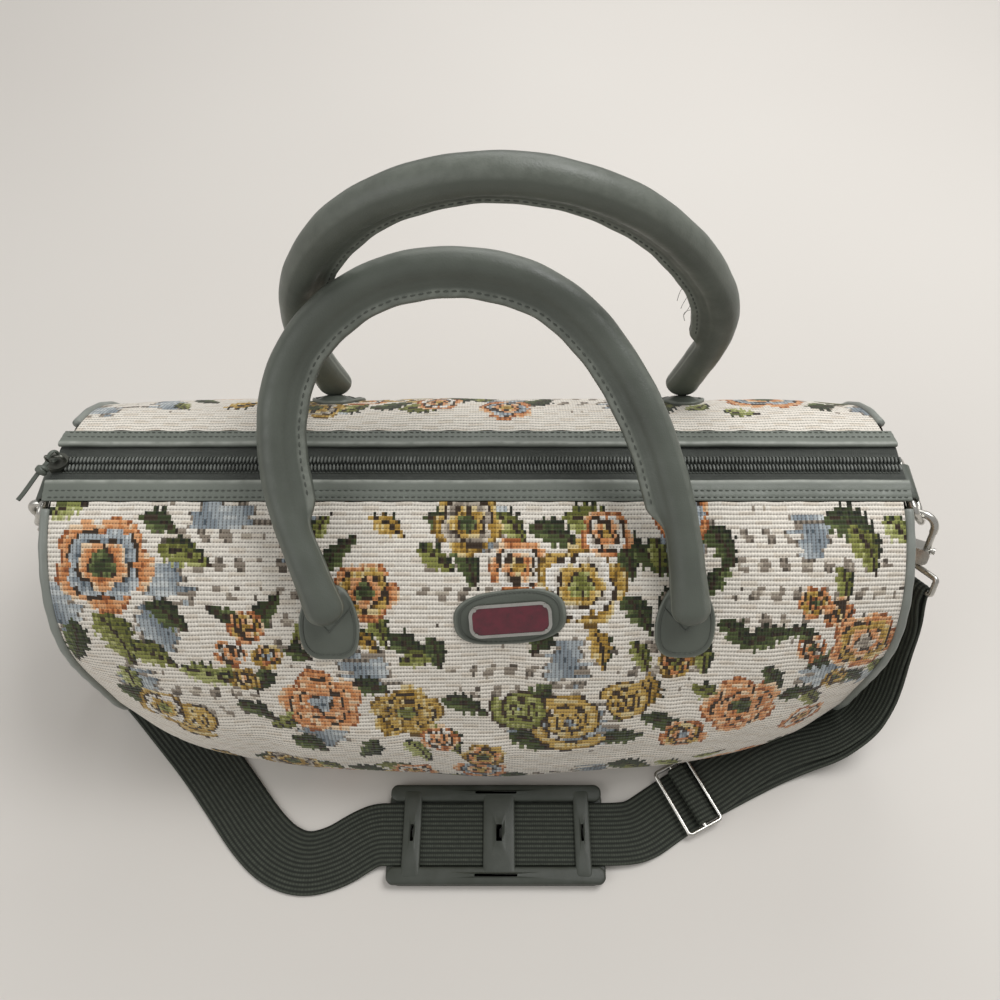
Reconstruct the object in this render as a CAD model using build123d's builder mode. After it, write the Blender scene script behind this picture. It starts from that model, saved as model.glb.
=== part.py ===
from build123d import *
import os
from math import asin, cos, degrees, radians, sin, sqrt, tan

# Bag body: +X runs along the length, -Y is the front, the bag stands on z = 0
bag_length = 480
bag_height = 182
arch_radius = 88
belly_front = 133
belly_back = 95
corner_lift = 7.5
corner_radius = 20
panel_wall = 3
seam_gap = 0.2
seam_place = 25
piping_diameter = 5
end_dome = 3

# Zip and its trims
zip_gap = 24
trim_width = 12.5
trim_thickness = 2.4
trim_proud = 0.8
tape_thickness = 0.9
tape_cover = 3.5
tape_split = 1.0
chain_width = 9
chain_height = 2.5
slider_length = 13
slider_plate = 1.5
slider_fit = 0.1
bail_rod = 1.8
thong_cord = 1.9
thong_loop = 3
thong_tail = 30
thong_turn = 30
thong_drop = 10
thong_knot = 6.6

# Rolled handles and their tabs
handle_diameter = 18.6
handle_seam_depth = 7
handle_seam_width = 6
seam_start = 0.09
handle_centre = 18
front_lean = 49.5
back_lean = -12
handle_seat = 0.225
tab_width = 34
tab_height = 54
tab_thickness = 1.6
tab_lie = 0.2
hinge_gap = 0.3

# Badge
badge_width = 60
badge_height = 30
badge_leather = 1.6
badge_centre = 18
badge_seat = 0.26
badge_tilt = 6
plate_width = 45
plate_height = 19
plate_thickness = 1.6
enamel_inset = 1.8
enamel_depth = 0.8
rivet_diameter = 2.2

# End hardware
ring_rod = 4
ring_width = 32
ring_depth = 28
ring_height = 168
ring_side = -6
chape_width = 24
chape_leather = 2
chape_length = 43
hook_rod = 4.5
hook_opening = 11
hook_reach = 12
hook_block = (21, 11, 9)
bolt_diameter = 3.8
bolt_travel = 6
pin_diameter = 4
pin_length = 6
turning_fit = 0.05
hang_gap = 0.8
eye_rod = 3.5
eye_height = 8

# Shoulder strap
strap_width = 38
strap_thickness = 2
pad_length = 137
pad_width = 60
pad_height = 8
pad_centre = (10, -163)
pad_bars = [(-53, 11.5), (2, 20), (54.5, 10)]
strap_height = 4.6
adjuster_rod = 2.6
adjuster_length = 24
adjuster_angle = 26
adjuster_place = (134, -140)
adjuster_height = 6.3

os.makedirs("parts", exist_ok=True)


def finish(part, name):
    """Name a finished piece and write it to its own file."""
    part.label = name
    export_step(part, f"parts/{name}.step")


# Cross-sections of the body
# Each outline runs from the trim down to the foot: (share of the reach, share of the height)
belly_shape = [
    (0.37, 0.934), (0.57, 0.835), (0.73, 0.70), (0.88, 0.51), (0.965, 0.36),
    (0.99, 0.22), (0.975, 0.11), (0.91, 0.04), (0.81, 0.008), (0.70, 0),
]
end_shape = [
    (0.40, 0.958), (0.64, 0.883), (0.83, 0.778), (0.955, 0.647), (1, 0.475),
    (1, 0.25), (0.985, 0.10), (0.93, 0.034), (0.86, 0.008), (0.77, 0),
]
arch_centre = bag_height - arch_radius
trim_start = degrees(asin(zip_gap / 2 / arch_radius))
trim_end = degrees(asin((zip_gap / 2 + trim_width) / arch_radius))
panel_start = trim_end + degrees(seam_gap / arch_radius)
panel_end = bag_length / 2 - piping_diameter - 0.1

# Stations along the bag: place as a share of the panel, share of the bulge, share of the corner's lift
stations = [
    (-1, 0, 1), (-0.83, 0.48, 1), (-0.6, 0.8, 0.25), (-0.32, 0.95, -0.1), (0, 1, -0.1), (0.32, 0.95, -0.1),
    (0.6, 0.8, 0.25), (0.83, 0.48, 1), (1, 0, 1),
]


def outline_points(side, bulge, lift):
    """Points of one side's outline at a station, from the trim to the foot."""
    reach = arch_radius + bulge * ((belly_front if side < 0 else belly_back) - arch_radius)
    belly_share = bulge if side < 0 else 0
    start_angle = radians(panel_start)
    points = [(side * arch_radius * sin(start_angle), arch_centre + arch_radius * cos(start_angle))]
    for belly, end in zip(belly_shape, end_shape):
        out = belly[0] * belly_share + end[0] * (1 - belly_share)
        up = belly[1] * belly_share + end[1] * (1 - belly_share)
        points.append((side * out * reach, lift * corner_lift + up * (bag_height - lift * corner_lift)))
    return points


def outline_curve(side, bulge, lift):
    """The outline as one smooth curve, level at the foot."""
    slope = (side * cos(radians(panel_start)), -sin(radians(panel_start)))
    return Spline(*outline_points(side, bulge, lift), tangents=[slope, (-side, 0)], mode=Mode.PRIVATE)


def inset_points(side, bulge, lift, inset):
    """Points of the outline moved inwards by inset, square to the curve."""
    curve = outline_curve(side, bulge, lift)
    steps = len(end_shape)
    points = []
    for step in range(steps + 1):
        along = curve.tangent_at(step / steps)
        place = curve.position_at(step / steps)
        points.append((place.X + side * inset * along.Y, place.Y - side * inset * along.X))
    return points


def wall_section(place, side, bulge, lift, outer, inner):
    """Closed profile of a skin that lies between two insets of the outline."""
    with BuildSketch(Plane.YZ.offset(place)) as section:
        with BuildLine():
            outside = Spline(*inset_points(side, bulge, lift, outer))
            inside = Spline(*inset_points(side, bulge, lift, inner))
            foot_out = (seam_place + side * seam_gap / 2, outside.position_at(1).Y)
            foot_in = (seam_place + side * seam_gap / 2, inside.position_at(1).Y)
            Line(outside.position_at(1), foot_out)
            Line(foot_out, foot_in)
            Line(foot_in, inside.position_at(1))
            Line(inside.position_at(0), outside.position_at(0))
        make_face()
    return section.sketch


def skin(side, outer, inner):
    """One side of the bag as a skin between two insets, lofted through all stations."""
    with BuildPart() as layer:
        for place, bulge, lift in stations:
            add(wall_section(place * panel_end, side, bulge, lift, outer, inner))
        loft()
    return layer.part


def seat_plane(side, fraction, centre, lie):
    """Plane that touches the bag's side at a share of the outline, x along the bag, z outwards."""
    curve = outline_curve(side, 0.9, 0)
    place = curve.position_at(fraction)
    along = curve.tangent_at(fraction)
    outward = Vector(0, -side * along.Y, side * along.X)
    return Plane(
        origin=Vector(centre, place.X, place.Y) + outward * lie, x_dir=(1, 0, 0), z_dir=outward
    )


# Front and back panels, which meet at a seam under the bag
sides = {"front": -1, "back": 1}
for name, side in sides.items():
    with BuildPart() as panel:
        add(skin(side, 0, panel_wall))
        with BuildSketch(Plane.XY):
            Rectangle(2 * bag_length, 4 * belly_front)
        extrude(amount=-bag_height, mode=Mode.SUBTRACT)
    finish(panel.part, f"{name}_panel")

# End panels, domed a little, cut level under the zip
panel_inset = piping_diameter / 2 + 0.3
tape_arch = arch_radius + trim_proud - trim_thickness
tape_top = arch_centre + sqrt(tape_arch ** 2 - (zip_gap / 2 + tape_cover) ** 2) - 0.3
tape_bottom = tape_top - tape_thickness
slider_bottom = tape_bottom - slider_fit - slider_plate


def end_face(place, inset):
    """Closed outline of the bag's end, moved inwards by inset."""
    with BuildSketch(Plane.YZ.offset(place)) as face:
        with BuildLine():
            front = Spline(*inset_points(-1, 0, 1, inset))
            back = Spline(*inset_points(1, 0, 1, inset))
            Line(front.position_at(0), back.position_at(0))
            Line(front.position_at(1), back.position_at(1))
        make_face()
    return face.sketch


for name, side in {"left": -1, "right": 1}.items():
    with BuildPart() as end_panel:
        add(end_face(side * (panel_end + 0.2), panel_inset))
        add(end_face(side * (panel_end + 0.2 + panel_wall), panel_inset))
        add(end_face(side * (panel_end + 0.2 + panel_wall + end_dome), panel_inset + 13))
        loft(ruled=True)
        with BuildSketch(Plane.XY.offset(slider_bottom - 0.6)):
            Rectangle(2 * bag_length, 2 * (zip_gap / 2 + trim_width) + 6)
        extrude(amount=arch_radius, mode=Mode.SUBTRACT)
    finish(end_panel.part, f"end_panel_{name}")

# Piping round each end, open under the trims
piping_radius = piping_diameter / 2
piping_place = bag_length / 2 - piping_radius
piping_start = trim_end + degrees((piping_radius + 0.2) / arch_radius) - 1.2
for name, side in {"left": -1, "right": 1}.items():
    with BuildPart() as piping:
        with BuildLine(Plane.YZ.offset(side * piping_place)) as piping_path:
            CenterArc((0, arch_centre), arch_radius, 90 + piping_start, 90 - piping_start)
            Line((-arch_radius, arch_centre), (-arch_radius, corner_lift + corner_radius))
            CenterArc((corner_radius - arch_radius, corner_lift + corner_radius), corner_radius, 180, 90)
            Line((corner_radius - arch_radius, corner_lift), (arch_radius - corner_radius, corner_lift))
            CenterArc((arch_radius - corner_radius, corner_lift + corner_radius), corner_radius, 270, 90)
            Line((arch_radius, corner_lift + corner_radius), (arch_radius, arch_centre))
            CenterArc((0, arch_centre), arch_radius, 0, 90 - piping_start)
        path_start = piping_path.wire().position_at(0)
        path_slope = piping_path.wire().tangent_at(0)
        with BuildSketch(Plane(origin=path_start, z_dir=path_slope)):
            Circle(piping_radius)
        sweep(path=piping_path.wire())
    finish(piping.part, f"piping_{name}")

# Leather trims along the zip, folded round at the inner edge
trim_outer = arch_radius + trim_proud
trim_inner = trim_outer - trim_thickness


def on_arch(radius, angle):
    """Point of the arch at an angle from the top, to the back for positive angles."""
    return (radius * sin(radians(angle)), arch_centre + radius * cos(radians(angle)))


for name, side in sides.items():
    fold_angle = trim_start - degrees(0.25 * trim_thickness / arch_radius)
    with BuildPart() as trim:
        with BuildSketch(Plane.YZ.offset(-bag_length / 2)):
            with BuildLine():
                middle = side * (trim_start + trim_end) / 2
                start = side * trim_start
                end = side * trim_end
                ThreePointArc(on_arch(trim_outer, start), on_arch(trim_outer, middle), on_arch(trim_outer, end))
                Line(on_arch(trim_outer, end), on_arch(trim_inner, end))
                ThreePointArc(on_arch(trim_inner, end), on_arch(trim_inner, middle), on_arch(trim_inner, start))
                fold = on_arch((trim_outer + trim_inner) / 2, side * fold_angle)
                ThreePointArc(on_arch(trim_inner, start), fold, on_arch(trim_outer, start))
            make_face()
        extrude(amount=bag_length)
    finish(trim.part, f"trim_{name}")

# Zip tapes under the trims, and the coil sewn on each
chain_bottom = tape_top + 0.05
chain_top = chain_bottom + chain_height
for name, side in sides.items():
    with BuildPart() as tape:
        with BuildSketch(Plane.YZ.offset(-bag_length / 2)):
            tape_reach = zip_gap / 2 + tape_cover
            with Locations((side * (tape_split + tape_reach * 2) / 4, (tape_top + tape_bottom) / 2)):
                Rectangle(tape_reach - tape_split / 2, tape_thickness)
        extrude(amount=bag_length)
    finish(tape.part, f"zip_tape_{name}")
    with BuildPart() as coil:
        with BuildSketch(Plane.YZ.offset(-bag_length / 2)):
            with Locations((side * (chain_width + tape_split) / 4, chain_bottom + chain_height / 2)):
                RectangleRounded((chain_width - tape_split) / 2, chain_height, chain_height / 2.5)
        extrude(amount=bag_length)
    finish(coil.part, f"zip_coil_{name}")

# Zip slider: two plates joined by a thin web that runs between the coils, flanges and a bail
slider_rest = -bag_length / 2 + 3
slider_width = chain_width + 2 * slider_fit + 2
slider_top = chain_top + slider_fit + slider_plate
bail_height = slider_top + thong_loop + thong_cord / 2 + bail_rod / 2 - 0.6
with BuildPart() as zip_slider:
    for level in (slider_bottom, slider_top - slider_plate):
        with BuildSketch(Plane.XY.offset(level)):
            with Locations((slider_rest, 0)):
                SlotOverall(slider_length, slider_width)
        extrude(amount=slider_plate)
    with BuildSketch(Plane.XY.offset(slider_bottom)):
        with Locations((slider_rest, 0)):
            Rectangle(slider_length * 0.6, tape_split - 2 * slider_fit)
    extrude(amount=slider_top - slider_bottom)
    with BuildSketch(Plane.XY.offset(tape_top + slider_fit + 0.2)):
        with Locations((slider_rest, slider_width / 2 - 0.4), (slider_rest, 0.4 - slider_width / 2)):
            Rectangle(slider_length * 0.5, 0.8)
    extrude(amount=slider_top - slider_plate - tape_top - slider_fit)
    with BuildLine(Plane.XZ) as bail_path:
        FilletPolyline(
            (slider_rest - slider_length * 0.4, slider_top - 0.5),
            (slider_rest - slider_length * 0.36, bail_height),
            (slider_rest + slider_length * 0.36, bail_height),
            (slider_rest + slider_length * 0.4, slider_top - 0.5),
            radius=1.4,
        )
    with BuildSketch(Plane(origin=bail_path.wire().position_at(0), z_dir=bail_path.wire().tangent_at(0))):
        Circle(bail_rod / 2)
    sweep(path=bail_path.wire())
finish(zip_slider.part, "zip_slider")

# Leather thong looped through the bail, knotted, with its tail lying on the front trim
thong_way = Vector(
    -sin(radians(thong_turn)) * cos(radians(thong_drop)),
    -cos(radians(thong_turn)) * cos(radians(thong_drop)),
    -sin(radians(thong_drop)),
)
thong_axis = Vector(-cos(radians(thong_turn)), sin(radians(thong_turn)), 0)
thong_plane = Plane(origin=(slider_rest, 0, bail_height), x_dir=thong_way, z_dir=thong_axis)
knot_place = thong_loop + thong_cord / 2 + thong_knot / 2 + 3.6
with BuildPart() as pull_thong:
    with BuildSketch(Plane(origin=thong_plane.origin, x_dir=thong_way, z_dir=thong_plane.y_dir)):
        with Locations((thong_loop, 0)):
            Circle(thong_cord / 2)
    revolve(axis=Axis(thong_plane.origin, thong_axis))
    tail_start = thong_plane.from_local_coords((thong_loop + 0.6, 0, 0))
    with BuildSketch(Plane(origin=tail_start, x_dir=thong_axis, z_dir=thong_way)):
        RectangleRounded(thong_cord * 1.5, thong_cord, thong_cord / 3)
    extrude(amount=thong_tail - thong_loop)
    with Locations(thong_plane.from_local_coords((knot_place, 0, 0))):
        Sphere(thong_knot / 2)
finish(pull_thong.part, "pull_thong")


# Handle tabs: U-shaped leather patches that follow the bag's side
def corner_radii(points):
    """Largest tidy radius at each inner point of a route."""
    radii = []
    for before, here, after in zip(points, points[1:], points[2:]):
        first = Vector(*here) - Vector(*before)
        second = Vector(*after) - Vector(*here)
        turn = radians(first.get_angle(second))
        radii.append(0.45 * min(first.length, second.length) / tan(turn / 2))
    return radii


front_route = [
    (-99, 0), (-124, 70), (-119, 130), (-80, 170), (-25, 181), (30, 165), (70, 112), (90, 50), (96, 0),
]
back_route = [
    (-110, 0), (-120, 60), (-108, 118), (-70, 168), (-10, 189), (50, 172), (95, 128), (122, 72), (110, 0),
]
handle_radius = handle_diameter / 2
handles = {"front": (-1, front_lean, front_route), "back": (1, back_lean, back_route)}
for name, (side, lean, route) in handles.items():
    for end, foot in {"left": route[0][0], "right": route[-1][0]}.items():
        tab_plane = seat_plane(side, handle_seat, handle_centre + foot, 0)
        with BuildPart() as tab:
            add(skin(side, -tab_lie, -tab_lie - tab_thickness))
            with BuildSketch(tab_plane):
                drop = side * (tab_height / 2 - 14)
                with Locations((0, drop)):
                    RectangleRounded(tab_width, tab_height, tab_width * 0.3)
            extrude(amount=handle_diameter, both=True, mode=Mode.INTERSECT)
        finish(tab.part, f"handle_tab_{name}_{end}")

    # Rolled handle: a round core with a sewn seam on its inner side, rounded where it hinges on the tabs
    seat = seat_plane(side, handle_seat, handle_centre, tab_lie + tab_thickness + hinge_gap + handle_radius)
    upward = Vector(0, sin(radians(lean)), cos(radians(lean)))
    handle_plane = Plane(origin=seat.origin, x_dir=(1, 0, 0), z_dir=Vector(1, 0, 0).cross(upward))
    with BuildPart() as handle:
        with BuildLine(handle_plane) as handle_path:
            FilletPolyline(*route, radius=corner_radii(route))
        foot_place = handle_path.wire().position_at(0)
        foot_slope = handle_path.wire().tangent_at(0)
        foot_plane = Plane(origin=foot_place, x_dir=handle_plane.z_dir, z_dir=foot_slope)
        inward = 1 if foot_plane.y_dir.X > 0 else -1
        with BuildSketch(foot_plane):
            Circle(handle_radius)
        sweep(path=handle_path.wire())
        seam_path = handle_path.wire().trim(seam_start, 1 - seam_start)
        seam_plane = Plane(
            origin=seam_path.position_at(0), x_dir=handle_plane.z_dir, z_dir=seam_path.tangent_at(0)
        )
        with BuildSketch(seam_plane):
            with Locations((0, inward * (handle_radius + handle_seam_depth) / 2)):
                Rectangle(handle_seam_width, handle_radius + handle_seam_depth)
        sweep(path=seam_path)
        for foot in (route[0][0], route[-1][0]):
            with Locations(handle_plane.from_local_coords((foot, 0, 0))):
                Sphere(handle_radius)
    finish(handle.part, f"handle_{name}")

# Oval badge: leather patch, domed metal plate with an enamel field and four rivets
badge_plane = seat_plane(-1, badge_seat, badge_centre, 0).rotated((0, 0, badge_tilt))
plate_lie = tab_lie + badge_leather + 0.1
with BuildPart() as badge_patch:
    add(skin(-1, -tab_lie, -tab_lie - badge_leather))
    with BuildSketch(badge_plane):
        RectangleRounded(badge_width, badge_height, badge_height / 2.1)
    extrude(amount=10, both=True, mode=Mode.INTERSECT)
finish(badge_patch.part, "badge_patch")
rivet_spots = GridLocations(plate_width - 2 * enamel_inset - 3, plate_height - 2 * enamel_inset - 1, 2, 2)
with BuildPart() as badge_plate:
    add(skin(-1, -plate_lie, -plate_lie - plate_thickness))
    with BuildSketch(badge_plane):
        RectangleRounded(plate_width, plate_height, plate_height / 3)
    extrude(amount=10, both=True, mode=Mode.INTERSECT)
badge_field = skin(-1, -plate_lie - plate_thickness + enamel_depth, -plate_lie - 2 * plate_thickness)
with BuildPart() as field_cut:
    add(badge_field)
    with BuildSketch(badge_plane):
        RectangleRounded(plate_width - 2 * enamel_inset, plate_height - 2 * enamel_inset, plate_height / 4)
    extrude(amount=10, both=True, mode=Mode.INTERSECT)
with BuildPart() as plate_with_field:
    add(badge_plate.part)
    add(field_cut.part, mode=Mode.SUBTRACT)
    with BuildSketch(badge_plane):
        with rivet_spots:
            Circle(rivet_diameter / 2 + turning_fit)
    extrude(amount=10, both=True, mode=Mode.SUBTRACT)
finish(plate_with_field.part, "badge_plate")
with BuildPart() as badge_enamel:
    add(skin(-1, -plate_lie - plate_thickness + enamel_depth - 0.05, -plate_lie - plate_thickness + 0.2))
    with BuildSketch(badge_plane):
        enamel_size = (plate_width - 2 * enamel_inset - 0.2, plate_height - 2 * enamel_inset - 0.2)
        RectangleRounded(*enamel_size, plate_height / 4.1)
        with rivet_spots:
            Circle(rivet_diameter / 2 + turning_fit + 0.1, mode=Mode.SUBTRACT)
    extrude(amount=10, both=True, mode=Mode.INTERSECT)
finish(badge_enamel.part, "badge_enamel")
with BuildPart() as badge_rivets:
    add(skin(-1, -plate_lie, -plate_lie - plate_thickness - 0.6))
    with BuildSketch(badge_plane):
        with rivet_spots:
            Circle(rivet_diameter / 2)
    extrude(amount=10, both=True, mode=Mode.INTERSECT)
finish(badge_rivets.part, "badge_rivets")

# End hardware
end_outside = panel_end + 0.2 + panel_wall + end_dome
chape_face = end_outside + 0.2
eye_radius = ring_rod / 2 + 0.3
ring_place = chape_face + chape_leather + eye_radius
ring_half = (ring_width + ring_rod) / 2
hook_rise = (hook_opening + hook_rod) / 2
hang = hook_rise - hook_rod / 2 - ring_rod / 2 - hang_gap

# How each hook hangs: side, the ring's slope out from the bag, the hook's place round the ring,
# the hook's way down, and the way of the rectangular eye's bars
hanging = {
    "left": (-1, 30, 0, Vector(0, 0, -1), Vector(0, 1, 0)),
    "right": (1, 35, -55, Vector(-0.06, -0.43, -0.9), Vector(0.42, -0.83, 0.36)),
}
for name, (side, slope, around, down, bar) in hanging.items():
    # Chape: leather folded round the ring's bar and sewn to the end panel
    with BuildPart() as chape:
        with BuildSketch(Plane.XZ.offset(-ring_side - chape_width / 2)):
            with BuildLine():
                near = side * chape_face
                far = side * (chape_face + 2 * chape_leather)
                outer = eye_radius + chape_leather
                chape_low = ring_height - chape_length
                shoulder = (side * (ring_place + 0.7 * outer), ring_height - 0.7 * outer)
                Polyline(
                    (near, chape_low), (near, ring_height), (side * ring_place, ring_height), shoulder,
                    (far, ring_height - 3 * outer), (far, chape_low), close=True,
                )
            make_face()
            with Locations((side * ring_place, ring_height)):
                Circle(outer)
                Circle(eye_radius, mode=Mode.SUBTRACT)
        extrude(amount=chape_width)
    finish(chape.part, f"chape_{name}")

    # D-ring: straight bar in the chape, half-round outside
    outward = Vector(side * sin(radians(slope)), 0, -cos(radians(slope)))
    ring_centre = (side * ring_place, ring_side, ring_height)
    ring_plane = Plane(origin=ring_centre, x_dir=(0, 1, 0), z_dir=Vector(0, 1, 0).cross(outward))
    leg = ring_depth - ring_half
    with BuildPart() as d_ring:
        with BuildLine(ring_plane) as ring_path:
            CenterArc((0, leg), ring_half, 0, 180)
            FilletPolyline(
                (-ring_half, leg), (-ring_half, 0), (ring_half, 0), (ring_half, leg), radius=ring_rod
            )
        with BuildSketch(Plane(origin=ring_path.wire().position_at(0), z_dir=ring_path.wire().tangent_at(0))):
            Circle(ring_rod / 2)
        sweep(path=ring_path.wire())
    finish(d_ring.part, f"d_ring_{name}")

    # Snap hook: open jaw, block with the bolt's bore and thumb slot, bore for the swivel pin
    rod_spot = ring_plane.from_local_coords(
        (ring_half * sin(radians(around)), leg + ring_half * cos(radians(around)), 0)
    )
    rod_way = ring_plane.x_dir * cos(radians(around)) - ring_plane.y_dir * sin(radians(around))
    down = down.normalized()
    across = down.cross(rod_way).normalized()
    if across.X * side < 0:
        across = across * -1
    hook_plane = Plane(origin=rod_spot + down * hang, x_dir=across, z_dir=across.cross(down))
    block_length, block_width, block_thick = hook_block[0], hook_block[2] + 1, hook_block[1]
    block_end = hook_reach + block_width
    with BuildPart() as hook:
        with BuildLine(hook_plane) as jaw_path:
            Line((-hook_rise, hook_reach + 1), (-hook_rise, 0))
            CenterArc((0, 0), hook_rise, 180, 180)
            Line((hook_rise, 0), (hook_rise, 2))
        with BuildSketch(Plane(origin=jaw_path.wire().position_at(0), z_dir=jaw_path.wire().tangent_at(0))):
            Circle(hook_rod / 2)
        sweep(path=jaw_path.wire())
        with BuildSketch(hook_plane.offset(-block_thick / 2)):
            with Locations((0, hook_reach + block_width / 2)):
                RectangleRounded(block_length, block_width, 3.5)
        extrude(amount=block_thick)
        bolt_mouth = Plane(
            origin=hook_plane.from_local_coords((hook_rise, hook_reach - 1, 0)), x_dir=across, z_dir=down
        )
        with BuildSketch(bolt_mouth):
            Circle(bolt_diameter / 2 + turning_fit)
        extrude(amount=block_width, mode=Mode.SUBTRACT)
        with BuildSketch(bolt_mouth):
            with Locations((block_length / 2 - hook_rise + 1, 0)):
                Rectangle(block_length, 2.6)
            with Locations((-block_length / 2, 0)):
                Rectangle(block_length + 1, 3, mode=Mode.SUBTRACT)
        extrude(amount=bolt_travel + 5, mode=Mode.SUBTRACT)
        pin_mouth = hook_plane.from_local_coords((0, block_end + 1, 0))
        with BuildSketch(Plane(origin=pin_mouth, x_dir=across, z_dir=down * -1)):
            Circle(pin_diameter / 2 + turning_fit)
        extrude(amount=pin_length + 1.5, mode=Mode.SUBTRACT)
    finish(hook.part, f"hook_{name}")

    # Spring bolt that closes the jaw, with its thumb knob
    with BuildPart() as bolt:
        bolt_tip = hook_plane.from_local_coords((hook_rise, 2.2, 0))
        with BuildSketch(Plane(origin=bolt_tip, x_dir=across, z_dir=down)):
            Circle(bolt_diameter / 2)
        extrude(amount=hook_reach - 2.2 + block_width - 1.6 - bolt_travel)
        knob_plane = Plane(
            origin=hook_plane.from_local_coords((hook_rise, hook_reach + 1.6, 0)), x_dir=down, z_dir=across
        )
        with BuildSketch(knob_plane):
            Circle(1.1)
        extrude(amount=block_length / 2 - hook_rise + 1.4)
        with BuildSketch(knob_plane.offset(block_length / 2 - hook_rise + 0.3)):
            Circle(2)
        extrude(amount=1.6)
    finish(bolt.part, f"bolt_{name}")

    # Rectangular eye for the webbing, with the swivel pin that turns in the hook
    bar = (bar - down * bar.dot(down)).normalized()
    eye_centre = hook_plane.from_local_coords((0, block_end + 0.3 + eye_rod / 2, 0))
    eye_plane = Plane(origin=eye_centre, x_dir=bar, z_dir=bar.cross(down))
    half = (strap_width + eye_rod) / 2 + 1
    with BuildPart() as hook_eye:
        with BuildLine(eye_plane) as eye_path:
            lower = eye_height + eye_rod
            FilletPolyline((-half, 0), (half, 0), (half, lower), (-half, lower), close=True, radius=2)
        with BuildSketch(Plane(origin=eye_path.wire().position_at(0), z_dir=eye_path.wire().tangent_at(0))):
            Circle(eye_rod / 2)
        sweep(path=eye_path.wire())
        with BuildSketch(Plane(origin=eye_plane.origin + down * 0.5, x_dir=bar, z_dir=down * -1)):
            Circle(pin_diameter / 2)
        extrude(amount=pin_length + eye_rod / 2 + 0.8)
    finish(hook_eye.part, f"hook_eye_{name}")

# Shoulder strap: stations of the flat webbing, each a place and the way of its width
main_route = [
    ((-262.6, -6, 82), (0, 1, 0)), ((-262.7, -6, 98), (0, 1, 0)), ((-262.7, -6, 105.5), (0, 1, 0)),
    ((-261.8, -6, 107.7), (0, 1, 0)), ((-259.6, -6, 108.6), (0, 1, 0)),
    ((-257.4, -6, 107.7), (0, 1, 0)), ((-256.5, -6, 105.5), (0, 1, 0)), ((-256.6, -6, 96), (0, 1, 0)),
    ((-259.4, -10, 80), (0, 1, 0)), ((-262, -16, 60), (0.15, 1, 0)), ((-263, -26, 36), (0.4, 0.92, 0)),
    ((-262, -38, 13), (0.58, 0.81, 0)), ((-251, -49.5, 2), (0.68, 0.73, 0)),
    ((-229, -69, 1.3), (0.7, 0.71, 0)), ((-205, -93, 1.3), (0.72, 0.7, 0)),
    ((-182, -116, 1.3), (0.73, 0.68, 0)), ((-160, -141, 1.3), (0.75, 0.66, 0)),
    ((-143, -161, 1.3), (0.74, 0.67, 0)), ((-127, -175, 1.3), (0.5, 0.86, 0)),
    ((-109, -181, 1.3), (0.1, 1, 0)), ((-90, -176, 1.5), (-0.35, 0.94, 0)),
    ((-76, -167.5, 3), (-0.25, 0.97, 0)), ((-66, -163.2, 4.6), (-0.1, 1, 0)),
    ((-56, -163, 4.6), (0, 1, 0)), ((-20, -163, 4.6), (0, 1, 0)), ((25, -163, 4.6), (0, 1, 0)),
    ((70, -163, 4.6), (0, 1, 0)), ((93, -162.8, 4.6), (0, 1, 0)), ((103, -159.5, 3), (-0.25, 0.97, 0)),
    ((113, -153, 1.3), (-0.43, 0.9, 0)), ((134, -140, 1.3), (-0.45, 0.89, 0)),
    ((152, -131.5, 1.3), (-0.44, 0.9, 0)), ((172, -122, 1.3), (-0.42, 0.91, 0)),
    ((192, -113, 1.6), (-0.4, 0.92, -0.02)), ((212, -106, 3.6), (-0.42, 0.9, -0.12)),
    ((233, -102, 8.5), (-0.45, 0.79, -0.41)), ((250.3, -94.1, 16.8), (-0.4, 0.59, -0.7)),
    ((258.5, -80, 31), (-0.42, 0.7, -0.58)), ((261.5, -67, 50), (-0.38, 0.88, -0.28)),
    ((260.5, -57, 72), (-0.38, 0.9, -0.2)), ((259.8, -48.5, 92), (-0.42, 0.86, -0.28)),
    ((257.2, -39.6, 109), (-0.42, 0.83, -0.37)), ((257.5, -37.4, 113.5), (-0.42, 0.83, -0.37)),
]


def print_bends(name, route):
    """Print the radius of each bend of a route."""
    places = [Vector(*place) for place, width in route]
    radii = []
    for before, here, after in zip(places, places[1:], places[2:]):
        turn = radians((here - before).get_angle(after - here))
        radii.append(round((after - before).length / 2 / max(sin(turn), 0.001), 1))
    print(name, "bend radii in mm", radii)


def band_planes(route):
    """Cross planes of the webbing: x along its width, z along the strap."""
    planes = []
    places = [Vector(*place) for place, width in route]
    for index, (place, width) in enumerate(route):
        before = places[max(index - 1, 0)]
        after = places[min(index + 1, len(places) - 1)]
        along = (after - before).normalized()
        across = Vector(*width)
        across = (across - along * across.dot(along)).normalized()
        planes.append(Plane(origin=places[index], x_dir=across, z_dir=along))
    return planes


main_planes = band_planes(main_route)
with BuildPart() as strap_webbing:
    for place in reversed(main_planes):
        with BuildSketch(place):
            Rectangle(strap_width, strap_thickness)
    loft(ruled=True)
finish(strap_webbing.part, "strap_webbing")
print_bends("strap_webbing", main_route)

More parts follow.
